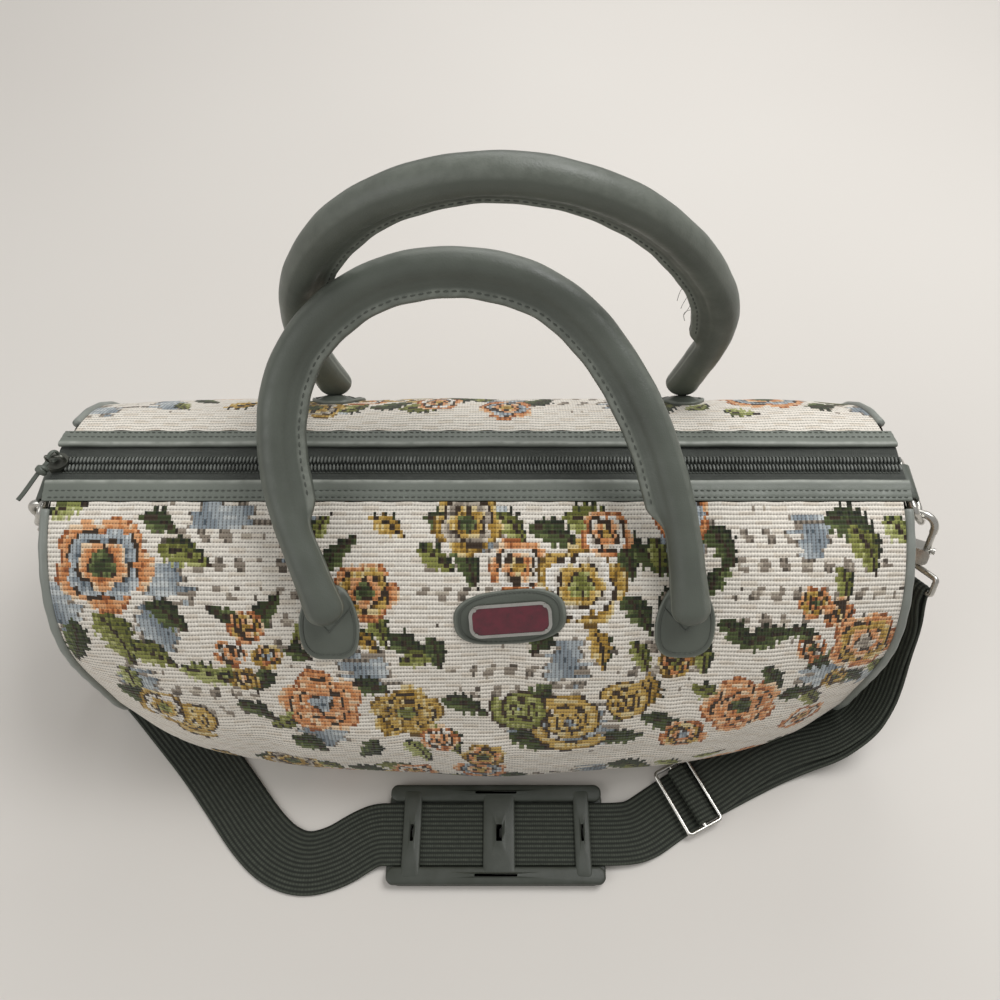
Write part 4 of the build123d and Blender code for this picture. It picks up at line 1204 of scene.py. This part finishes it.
@dataclass
class Handle:
    """A rolled leather handle: a round core and the sewn edges that stand on its inner side."""

    name: str
    side: int
    seat: tuple
    lean: float
    route: tuple
    radius: float = 0.0093
    seam_depth: float = 0.0070

    def build(self) -> None:
        """Make the handle, its rows of stitches and its tabs."""
        lean = math.radians(self.lean)
        across = np.array([1.0, 0, 0])
        upward = np.array([0, math.sin(lean), math.cos(lean)])
        normal = np.cross(across, upward)
        flat = soft_route(self.route, 300) * MM
        path = np.asarray(self.seat) * MM + flat[:, :1] * across + flat[:, 1:] * upward
        tangent = unit(np.gradient(path, axis=0))
        inward = np.cross(tangent, normal)
        middle = path.mean(0)
        if ((middle - path[150]) @ inward[150]) < 0:
            inward = -inward
        share = np.linspace(0, 1, len(path))
        seam = ease((share - 0.09) / 0.035) * ease((0.91 - share) / 0.035)
        profile = self.profile(seam)
        caps = np.radians(np.linspace(88, 12, 7))
        flare = 1 + 0.16 * (np.exp(-share / 0.03) + np.exp(-(1 - share) / 0.03))
        thin = 1 - 0.12 * (np.exp(-share / 0.03) + np.exp(-(1 - share) / 0.03))
        wobble = 1 + 0.012 * np.sin(share * 61 + self.side) + 0.008 * np.sin(share * 143)
        profile = profile * np.stack([flare * wobble, thin * wobble], -1)[:, None]
        starts = [path[0] - tangent[0] * self.radius * math.sin(a) for a in caps]
        ends = [path[-1] + tangent[-1] * self.radius * math.sin(a) for a in caps[::-1]]
        line = np.vstack([starts, path, ends])
        shapes = np.concatenate([
            np.array([profile[0] * math.cos(a) for a in caps]), profile,
            np.array([profile[-1] * math.cos(a) for a in caps[::-1]]),
        ])
        first = np.vstack([np.repeat(inward[:1], 7, 0), inward, np.repeat(inward[-1:], 7, 0)])
        second = np.broadcast_to(normal, line.shape)
        piece = sweep(f"rolled_handle_{self.name}", line, first, second, shapes, "handle")
        # The sewn flange's edges are painted paler, and a band along the loop's outer edge is a painted
        # highlight where light falls.
        ring = np.zeros(shapes.shape[1])
        ring[4:7] = ring[-8:-5] = 0.55
        ring[18:24] = 0.25
        set_wear_and_highlight(piece, np.broadcast_to(ring, shapes.shape[:2]))
        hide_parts(f"handle_{self.name}")
        body = f"{self.name}_handle"
        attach(piece, body)
        keep = (share > 0.125) & (share < 0.875)
        for row, way in (("upper", 1), ("lower", -1)):
            points = path + inward * 0.0133 * wobble[:, None] + normal * way * 0.0031
            up = np.broadcast_to(normal * way, points.shape)
            name = f"handle_stitches_{self.name}_{row}"
            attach(stitch_row(name, points[keep], up[keep], 0.0042, 0.0029, 0.0010), body)
        self.strays(path, inward, normal, body)
        for end, foot in (("left", self.route[0][0]), ("right", self.route[-1][0])):
            Tab(f"{self.name}_{end}", self.side, self.seat[0] + foot).build(self.seat)

    def profile(self, seam: np.ndarray) -> np.ndarray:
        """Return the cross-sections: a circle that grows into two raw edges where it is sewn."""
        tip = (self.radius + self.seam_depth) / MM
        half = [
            (tip - 1.9, 0.22), (tip - 0.3, 0.42), (tip, 0.7), (tip, 1.6), (tip - 0.3, 2.5),
            (tip - 1.2, 2.95), (tip - 3.4, 3.05), (tip - 5.0, 3.3), (9.7, 4.1), (8.6, 5.0),
        ]
        turns = np.radians(np.linspace(34, 180, 13))
        upper = np.array(half + [(9.3 * math.cos(a), 9.3 * math.sin(a)) for a in turns])
        lower = upper[:-1][::-1] * [1, -1]
        sewn = np.vstack([upper, lower]) * MM
        angle = np.unwrap(np.arctan2(sewn[:, 1], sewn[:, 0]))
        plain = self.radius * np.column_stack([np.cos(angle), np.sin(angle)])
        return plain + (sewn - plain) * seam[:, None, None]

    def strays(self, path: np.ndarray, inward: np.ndarray, normal: np.ndarray, body: str) -> None:
        """Add a few loose sewing threads on the back handle's inner edge."""
        if self.side < 0:
            return
        rng = np.random.default_rng(11)
        for number in range(4):
            i = int(232 + 5 * number)
            start = path[i] + inward[i] * 0.0155
            bow = rng.normal(0, 0.0012, 3)
            steps = np.linspace(0, 1, 14)[:, None]
            hang = inward[i] * 0.004 + np.array([0.001, -0.002, -0.006])
            line = start + steps * hang + np.sin(steps * 3) * bow
            tangent = unit(np.gradient(line, axis=0))
            first = unit(np.cross(tangent, normal))
            shape = 0.00016 * np.array([[1, 0], [0, 1], [-1, 0], [0, -1]])
            second = np.cross(tangent, first)
            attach(sweep(f"loose_thread_{number + 1}", line, first, second, shape, "thread"), body)


def patch(
    name: str, skin: Skin, centre: tuple, shape, thickness: float, finish: str, lift: float = 0.0003,
    rings: int = 16, segments: int = 72, swell=None,
) -> bpy.types.Object:
    """Make a leather patch that lies on the cloth.

    Args:
        name: The piece's name.
        skin: The side of the bag.
        centre: Its middle: place along the bag and distance from the trim in metres.
        shape: Function of the angle that gives the border point (along, down) in metres.
        thickness: The leather's thickness.
        finish: The finish's name.
        lift: Gap to the cloth.
        rings: Rings from the border to the middle.
        segments: Points round the border.
        swell: Function of (along, down) that gives extra height in metres.

    Returns:
        The new object.
    """
    turns = np.linspace(0, 2 * math.pi, segments, endpoint=False)
    border = np.array([shape(turn) for turn in turns])
    rows, heights, wear_and_highlight = [], [], []
    for share, height in ((1.0, -0.2), (1.012, 0.3), (1.0, 0.75), (0.975, 0.95)):
        rows.append(border * share)
        heights.append(np.full(segments, lift + thickness * height))
        wear_and_highlight.append(np.full(segments, 0.4 if height > 0.5 else 0.1))
    for share in np.linspace(0.94, 0.0, rings):
        local = border * share
        dip = 0.25 * math.exp(-((share - 0.86) / 0.03) ** 2)
        extra = swell(local[:, 0], local[:, 1]) if swell else 0.0
        rows.append(local)
        heights.append(np.full(segments, lift + thickness * (1 - dip)) + extra)
        wear_and_highlight.append(np.full(segments, 0.0))
    local = np.array(rows)
    down = np.maximum(centre[1] + local[..., 1], 0)
    points = skin.at(centre[0] + local[..., 0], down, np.array(heights))[0]
    faces = grid_faces(len(rows), segments, True, skin.side > 0)
    piece = make(name, points, faces, finish, local)
    set_wear_and_highlight(piece, np.array(wear_and_highlight))
    return piece


def superellipse(half_long: float, half_high: float, power: float, tilt: float = 0.0):
    """Return a border function of a superellipse turned by tilt degrees."""
    turned = math.radians(tilt)

    def shape(angle: float) -> tuple:
        """Return the border point at an angle."""
        c, s = math.cos(angle), math.sin(angle)
        a = half_long * math.copysign(abs(c) ** (2 / power), c)
        b = half_high * math.copysign(abs(s) ** (2 / power), s)
        return a * math.cos(turned) - b * math.sin(turned), a * math.sin(turned) + b * math.cos(turned)

    return shape


@dataclass
class Tab:
    """A U-shaped leather tab that holds one foot of a handle."""

    name: str
    side: int
    place: float
    half_width: float = 0.0165
    length: float = 0.043

    def shape(self, angle: float) -> tuple:
        """Return the border: narrow and straight above, wide and round below."""
        a, b = superellipse(self.half_width, self.length / 2, 3.2)(angle)
        narrow = 1 - 0.24 * float(ease(np.array((-b / (self.length / 2) + 0.1) / 1.1)))
        return a * narrow, b

    def build(self, seat: tuple) -> None:
        """Make the tab with its border stitches and V-shaped seam."""
        skin = SKINS[self.side]
        x = self.place * MM
        s = skin.find((x, seat[1] * MM - self.side * 0.0070, seat[2] * MM - 0.0085))[1]
        centre = (x, s + 0.0105)

        def swell(along: np.ndarray, down: np.ndarray) -> np.ndarray:
            """Return the rise over the handle's flattened end."""
            fade = ease((0.004 - down) / 0.016)
            return 0.0026 * np.exp(-((along / 0.0085) ** 4)) * fade * ease((down + 0.0205) / 0.004)

        piece = patch(f"leather_tab_{self.name}", skin, centre, self.shape, 0.0018, "handle", swell=swell)
        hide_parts(f"handle_tab_{self.name}")
        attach(piece, "root")
        turns = np.linspace(-0.1 * math.pi, 1.1 * math.pi, 90)
        border = np.array([self.shape(turn) for turn in turns]) * 0.86
        points, normals = skin.at(centre[0] + border[:, 0], centre[1] + border[:, 1], 0.0021)
        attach(stitch_row(f"tab_stitches_{self.name}", points, normals, 0.0031, 0.0021, 0.0008), "root")
        for arm in (-1, 1):
            steps = np.linspace(0, 1, 20)
            along = arm * 0.0115 * (1 - steps)
            down = -0.008 + 0.013 * steps
            lift = 0.0023 + swell(along, down)
            points, normals = skin.at(centre[0] + along, centre[1] + down, lift)
            word = "left" if arm < 0 else "right"
            name = f"tab_seam_{self.name}_{word}"
            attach(stitch_row(name, points, normals, 0.0028, 0.0020, 0.0008), "root")


@dataclass
class Badge:
    """The oval badge: a stitched leather patch under the metal plate."""

    half_long: float = 0.0305
    half_high: float = 0.0155
    tilt: float = -6.0

    def build(self) -> None:
        """Make the leather patch and its stitches."""
        skin = SKINS[-1]
        low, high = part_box("badge_patch")
        middle = (low + high) / 2
        s = skin.find((middle.x, middle.y, middle.z))[1]
        shape = superellipse(self.half_long, self.half_high, 2.7, self.tilt)
        piece = patch("badge_leather", skin, (0.018, s), shape, 0.0014, "handle", lift=0.0001)
        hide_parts("badge_patch")
        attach(piece, "root")
        turns = np.linspace(0, 2 * math.pi, 160)
        border = np.array([shape(turn) for turn in turns]) * 0.9
        points, normals = skin.at(0.018 + border[:, 0], s + border[:, 1], 0.0015)
        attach(stitch_row("badge_stitches", points, normals, 0.0029, 0.0020, 0.0008), "root")


# Strap and hardware

MAIN_ROUTE = (
    ((-262.6, -6, 82), (0, 1, 0)), ((-262.7, -6, 98), (0, 1, 0)), ((-262.7, -6, 105.5), (0, 1, 0)),
    ((-261.8, -6, 107.7), (0, 1, 0)), ((-259.6, -6, 108.6), (0, 1, 0)),
    ((-257.4, -6, 107.7), (0, 1, 0)), ((-256.5, -6, 105.5), (0, 1, 0)), ((-256.6, -6, 96), (0, 1, 0)),
    ((-259.4, -10, 80), (0, 1, 0)), ((-262, -16, 60), (0.15, 1, 0)), ((-263, -26, 36), (0.4, 0.92, 0)),
    ((-262, -38, 13), (0.58, 0.81, 0)), ((-251, -49.5, 2), (0.68, 0.73, 0)),
    ((-229, -69, 1.3), (0.7, 0.71, 0)), ((-205, -93, 1.3), (0.72, 0.7, 0)),
    ((-182, -116, 1.3), (0.73, 0.68, 0)), ((-160, -141, 1.3), (0.75, 0.66, 0)),
    ((-143, -161, 1.3), (0.74, 0.67, 0)), ((-127, -175, 1.3), (0.5, 0.86, 0)),
    ((-109, -181, 1.3), (0.1, 1, 0)), ((-90, -176, 1.5), (-0.35, 0.94, 0)),
    ((-76, -167.5, 3), (-0.25, 0.97, 0)), ((-66, -163.2, 4.6), (-0.1, 1, 0)),
    ((-56, -163, 4.6), (0, 1, 0)), ((-20, -163, 4.6), (0, 1, 0)), ((25, -163, 4.6), (0, 1, 0)),
    ((70, -163, 4.6), (0, 1, 0)), ((93, -162.8, 4.6), (0, 1, 0)), ((103, -159.5, 3), (-0.25, 0.97, 0)),
    ((113, -153, 1.3), (-0.43, 0.9, 0)), ((134, -140, 1.3), (-0.45, 0.89, 0)),
    ((152, -131.5, 1.3), (-0.44, 0.9, 0)), ((172, -122, 1.3), (-0.42, 0.91, 0)),
    ((192, -113, 1.6), (-0.4, 0.92, -0.02)), ((212, -106, 3.6), (-0.42, 0.9, -0.12)),
    ((233, -102, 8.5), (-0.45, 0.79, -0.41)), ((250.3, -94.1, 16.8), (-0.4, 0.59, -0.7)),
    ((258.5, -80, 31), (-0.42, 0.7, -0.58)), ((261.5, -67, 50), (-0.38, 0.88, -0.28)),
    ((260.5, -57, 72), (-0.38, 0.9, -0.2)), ((259.8, -48.5, 92), (-0.42, 0.86, -0.28)),
    ((257.2, -39.6, 109), (-0.42, 0.83, -0.37)), ((257.5, -37.4, 113.5), (-0.42, 0.83, -0.37)),
)
RETURN_ROUTE = (
    ((257.6, -37.2, 113.9), (-0.42, 0.83, -0.37)), ((257.7, -36.3, 115.7), (-0.42, 0.83, -0.37)),
    ((257, -35.5, 118.3), (-0.42, 0.83, -0.37)), ((255.1, -35.9, 119.6), (-0.42, 0.83, -0.37)),
    ((253.1, -37, 119.3), (-0.42, 0.83, -0.37)), ((252.2, -38.5, 117.2), (-0.42, 0.83, -0.37)),
    ((251.8, -41.3, 111.3), (-0.42, 0.83, -0.37)), ((253.8, -44.5, 103), (-0.42, 0.84, -0.36)),
    ((257.4, -49.5, 91), (-0.42, 0.86, -0.3)), ((257.9, -57, 72), (-0.38, 0.9, -0.22)),
    ((258.6, -66, 50), (-0.38, 0.88, -0.28)), ((255.8, -78.8, 31.5), (-0.42, 0.7, -0.58)),
    ((248, -91.1, 17.7), (-0.4, 0.59, -0.7)), ((231.1, -98.3, 10.1), (-0.45, 0.79, -0.41)),
    ((209.6, -100.9, 5.9), (-0.42, 0.9, -0.12)), ((189.7, -107.4, 4.2), (-0.4, 0.92, -0.02)),
    ((169.5, -118.5, 3.75), (-0.42, 0.91, 0)), ((150.3, -131, 3.75), (-0.44, 0.9, 0)),
    ((134, -140, 3.7), (-0.45, 0.89, 0)), ((132.3, -140.8, 4.5), (-0.45, 0.89, 0)),
    ((131.65, -141.15, 6.3), (-0.45, 0.89, 0)), ((132.3, -140.8, 8.1), (-0.45, 0.89, 0)),
    ((134, -140, 8.9), (-0.45, 0.89, 0)), ((140, -137, 8.9), (-0.45, 0.89, 0)),
)


def spline_points(name: str, stations: Sequence) -> tuple:
    """Read the smooth line and width directions of a strap from splines through its stations.

    Args:
        name: A name for the splines.
        stations: The stations: a place in mm and the way of the width.

    Returns:
        The line in metres and the unit width vectors.
    """
    found = []
    for number in (0, 1):
        data = bpy.data.curves.new(f"{name}_{number}", "CURVE")
        data.dimensions = "3D"
        spline = data.splines.new("NURBS")
        spline.points.add(len(stations) - 1)
        for point, station in zip(spline.points, stations):
            scale = MM if number == 0 else 1.0
            point.co = (*(value * scale for value in station[number]), 1.0)
        spline.order_u = 3
        spline.use_endpoint_u = True
        spline.resolution_u = 10
        holder = bpy.data.objects.new(f"{name}_{number}", data)
        bpy.context.scene.collection.objects.link(holder)
        bpy.context.view_layer.update()
        mesh = bpy.data.meshes.new_from_object(holder)
        found.append(np.array([tuple(v.co) for v in mesh.vertices]))
        bpy.data.objects.remove(holder)
        bpy.data.meshes.remove(mesh)
        bpy.data.curves.remove(data)
    return found[0], unit(found[1])


@dataclass
class Strap:
    """The shoulder strap: ribbed webbing and its doubled end."""

    width: float = 0.038
    thickness: float = 0.0019

    def build(self) -> None:
        pad = Pad().build()
        main, line = self.band("webbing_strap", MAIN_ROUTE, "strap_webbing")
        back, fold = self.band("webbing_return", RETURN_ROUTE, "strap_return")
        length = float(np.linalg.norm(np.diff(line, axis=0), axis=1).sum())
        folded = float(np.linalg.norm(np.diff(fold, axis=0), axis=1).sum())
        LOG.info("strap %.3f m, doubled part %.3f m", length, folded)
        tuple(line[0])
        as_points(line)

    def band(self, name: str, route: Sequence, node: str) -> tuple:
        """Make one run of webbing.

        Args:
            name: The piece's name.
            route: Its stations.
            node: The CAD node that it replaces.

        Returns:
            The piece and its line.
        """
        line, wide = spline_points(name, route)
        tangent = unit(np.gradient(line, axis=0))
        wide = unit(wide - tangent * (wide * tangent).sum(1, keepdims=True))
        thick = np.cross(tangent, wide)
        half, deep = self.width / 2, self.thickness / 2
        across = np.r_[-0.97, np.linspace(-0.92, 0.92, 33), 0.97] * half
        crown = deep * np.r_[0.8, np.full(33, 1.0), 0.8] + 0.00008 * np.cos(across / 0.0027 * 2 * math.pi)
        top = np.column_stack([across, crown])
        rim = np.array([[half, 0.0]])
        profile = np.vstack([top, rim, top[::-1] * [1, -1], -rim])
        piece = sweep(name, line, wide, thick, profile, "webbing")
        run = np.r_[0, np.cumsum(np.linalg.norm(np.diff(line, axis=0), axis=1))]
        uv = np.stack(np.broadcast_arrays(profile[None, :, 0], run[:, None]), -1).reshape(-1, 2)
        numbers = np.zeros(len(piece.data.loops), np.int32)
        piece.data.loops.foreach_get("vertex_index", numbers)
        piece.data.uv_layers["thread"].data.foreach_set("uv", uv[numbers].astype(np.float32).ravel())
        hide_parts(node)
        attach(piece, "root")
        return piece, line


@dataclass
class Pad:
    """The moulded shoulder pad: a tray with two rails and three bars over the webbing."""

    centre: tuple = (0.010, -0.163)
    half_long: float = 0.0685
    half_wide: float = 0.030
    height: float = 0.0080
    bars: tuple = ((-0.053, 0.0115), (0.002, 0.020), (0.0545, 0.010))

    def build(self) -> bpy.types.Object:
        """Make the pad as one piece."""
        points, faces = [], []
        slot = 0.0196
        self.block(points, faces, 0, 0, self.half_long, self.half_wide, 0.0003, 0.0033, 0.0012, 0.009)
        for way in (-1, 1):
            middle = way * (slot + self.half_wide) / 2
            self.block(
                points, faces, 0, middle, self.half_long - 0.0006, (self.half_wide - slot) / 2, 0.0030,
                self.height - 0.0004, 0.0014, 0.0046, 0.0006,
            )
        for place, width in self.bars:
            self.block(
                points, faces, place, 0, width / 2, self.half_wide - 0.004, 0.0059, self.height,
                0.0009, 0.0022, 0.0005,
            )
        piece = make("moulded_pad", np.array(points), faces, "pad")
        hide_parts("shoulder_pad")
        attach(piece, "pad")
        return piece

    def block(self, points, faces, x, y, half_x, half_y, low, high, bevel, corner, crown=0.0) -> None:
        """Add a rounded block with soft edges and a crowned top to the pad."""
        x, y = self.centre[0] + x, self.centre[1] + y
        turns = np.linspace(0, 2 * math.pi, 64, endpoint=False)
        cx, sy = np.cos(turns), np.sin(turns)
        outline_x = np.sign(cx) * (half_x - corner) + corner * cx
        outline_y = np.sign(sy) * (half_y - min(corner, half_y * 0.98)) + min(corner, half_y * 0.98) * sy
        rows = (
            (bevel, low), (bevel * 0.3, low + bevel * 0.3), (0, low + bevel),
            (0, high - bevel), (bevel * 0.3, high - bevel * 0.3), (bevel, high),
        )
        start = len(points)
        for inset, level in rows:
            k = 1 - inset / half_x, 1 - inset / half_y
            for a, b in zip(outline_x * k[0], outline_y * k[1]):
                points.append((x + a, y + b, level))
        for share in (0.8, 0.5, 0.2):
            k = (1 - bevel / half_x) * share, (1 - bevel / half_y) * share
            for a, b in zip(outline_x * k[0], outline_y * k[1]):
                points.append((x + a, y + b, high + crown * (1 - share**2)))
        total = len(rows) + 3
        for face in grid_faces(total, len(turns), True, True).tolist():
            faces.append([start + k for k in face])
        faces.append([start + k for k in range(len(turns))])
        faces.append([start + (total - 1) * len(turns) + k for k in reversed(range(len(turns)))])


@dataclass
class Chape:
    """A leather loop that holds a D-ring at the end of the bag."""

    name: str
    side: int
    width: float = 0.0234

    def build(self) -> None:
        """Make the chape, folded over the ring's bar and sewn below it."""
        low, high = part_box(f"chape_{self.name}")
        near, far = (low.x, high.x) if self.side > 0 else (high.x, low.x)
        bar, top = self.side * 0.2456, 0.168
        inner, outer = near + self.side * 0.001, far - self.side * 0.001
        stations = [(inner, low.z + 0.001), (inner, 0.145), (inner, top - 0.002)]
        for turn in np.radians(np.linspace(170, 0, 9)):
            stations.append((bar + self.side * 0.0034 * math.cos(turn), top + 0.0034 * math.sin(turn)))
        stations += [
            (bar + self.side * 0.0033, top - 0.004), (outer - self.side * 0.0006, 0.158),
            (outer - self.side * 0.0012, 0.146), (outer - self.side * 0.0016, low.z + 0.001),
        ]
        flat = Curve(stations).even(90)
        line = np.column_stack([flat[:, 0], np.full(90, -0.006), flat[:, 1]])
        tangent = unit(np.gradient(line, axis=0))
        across = np.broadcast_to([0, 1.0, 0], line.shape)
        thick = np.cross(tangent, across)
        half, deep = self.width / 2, 0.0009
        near_side = [(-half, -0.4), (-half * 0.96, -1), (0, -1), (half * 0.96, -1), (half, -0.4)]
        profile = np.vstack([near_side, np.array(near_side)[::-1] * [1, -1]]) * [1, deep]
        piece = sweep(f"leather_chape_{self.name}", line, across, thick, profile, "handle")
        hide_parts(f"chape_{self.name}")
        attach(piece, "root")
        for way in (-1, 1):
            z = np.linspace(0.128, 0.156, 30)
            place = (outer + self.side * 0.0002, -0.006 + way * 0.0096)
            row = np.column_stack([np.broadcast_to(place, (30, 2)), z])
            word = "front" if way < 0 else "back"
            up = np.broadcast_to([self.side, 0, 0], row.shape)
            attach(stitch_row(f"chape_stitches_{self.name}_{word}", row, up), "root")


# The studio


@dataclass
class Studio:
    """Plain pale floor, soft lights and the camera at the photograph's angle."""

    def build(self) -> None:
        """Make the floor, lights and camera."""
        mesh = bpy.data.meshes.new("floor")
        corners = [(x, y, -0.0002) for x, y in ((-6, -6), (6, -6), (6, 6), (-6, 6))]
        mesh.from_pydata(corners, [], [(0, 1, 2, 3)])
        g = Graph("Pale studio paper")
        g.set(g.shader, "Base Color", g.mix(g.noise(0.5), linear("#cfcac4"), linear("#d6d2cc")))
        g.shader.inputs["Roughness"].default_value = 0.7
        mesh.materials.append(g.material)
        floor = bpy.data.objects.new("floor", mesh)
        bpy.context.scene.collection.objects.link(floor)
        for name, place, size, power in (
            ("key", (0.7, 0.35, 1.5), 0.8, 15), ("fill", (-1.3, -0.9, 1.2), 1.2, 8),
            ("rim", (0.2, 1.5, 1.2), 1.0, 8),
        ):
            data = bpy.data.lights.new(name, "AREA")
            data.size, data.energy = size, power
            lamp = bpy.data.objects.new(name, data)
            lamp.location = place
            aim = np.array([0, 0, 0.1]) - np.array(place)
            flat = math.hypot(aim[0], aim[1])
            lamp.rotation_euler = (math.pi / 2 + math.atan2(aim[2], flat), 0, math.atan2(-aim[0], aim[1]))
            bpy.context.scene.collection.objects.link(lamp)
        world = bpy.data.worlds.new("studio")
        world.use_nodes = True
        back = world.node_tree.nodes["Background"]
        back.inputs["Color"].default_value = linear("#f2f1ef")
        back.inputs["Strength"].default_value = 0.5
        bpy.context.scene.world = world
        bpy.context.scene.view_settings.view_transform = "Standard"
        data = bpy.data.cameras.new("camera")
        data.sensor_width = 36
        data.lens = 36 * 850 / 1000
        data.clip_start, data.clip_end = 0.01, 50
        camera = bpy.data.objects.new("camera", data)
        camera.location = (0.0126, -0.279, 0.572)
        camera.rotation_euler = (math.radians(33), 0, 0)
        bpy.context.scene.collection.objects.link(camera)
        bpy.context.scene.camera = camera


def dress_nodes() -> None:
    """Give each CAD node that stays visible its finish."""
    finishes = {
        "zip_slider": "gunmetal", "badge_plate": "nickel", "badge_enamel": "enamel", "badge_rivets": "nickel",
        "strap_adjuster": "nickel",
    }
    for side in ("left", "right"):
        for part in ("d_ring", "hook", "bolt", "hook_eye"):
            finishes[f"{part}_{side}"] = "nickel"
    for node, finish in finishes.items():
        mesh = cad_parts[node].data
        mesh.materials.clear()
        mesh.materials.append(MATERIALS[finish])
        for polygon in mesh.polygons:
            polygon.material_index = 0


def clear_defaults() -> None:
    """Remove the objects that a new Blender file starts with."""
    for name in ("Cube", "Light", "Camera"):
        if name in bpy.data.objects:
            bpy.data.objects.remove(bpy.data.objects[name])


def main() -> None:
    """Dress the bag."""
    clear_defaults()
    dress_nodes()
    Body().build()
    Zip().build()
    Handle("front", -1, (18, -81.3488, 161.697), 49.5, FRONT_ROUTE).build()
    Handle("back", 1, (18, 75.8768, 162.001), -12, BACK_ROUTE).build()
    Badge().build()
    Chape("left", -1).build()
    Chape("right", 1).build()
    Strap().build()
    Studio().build()
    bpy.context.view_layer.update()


if __name__ == "__main__":
    main()
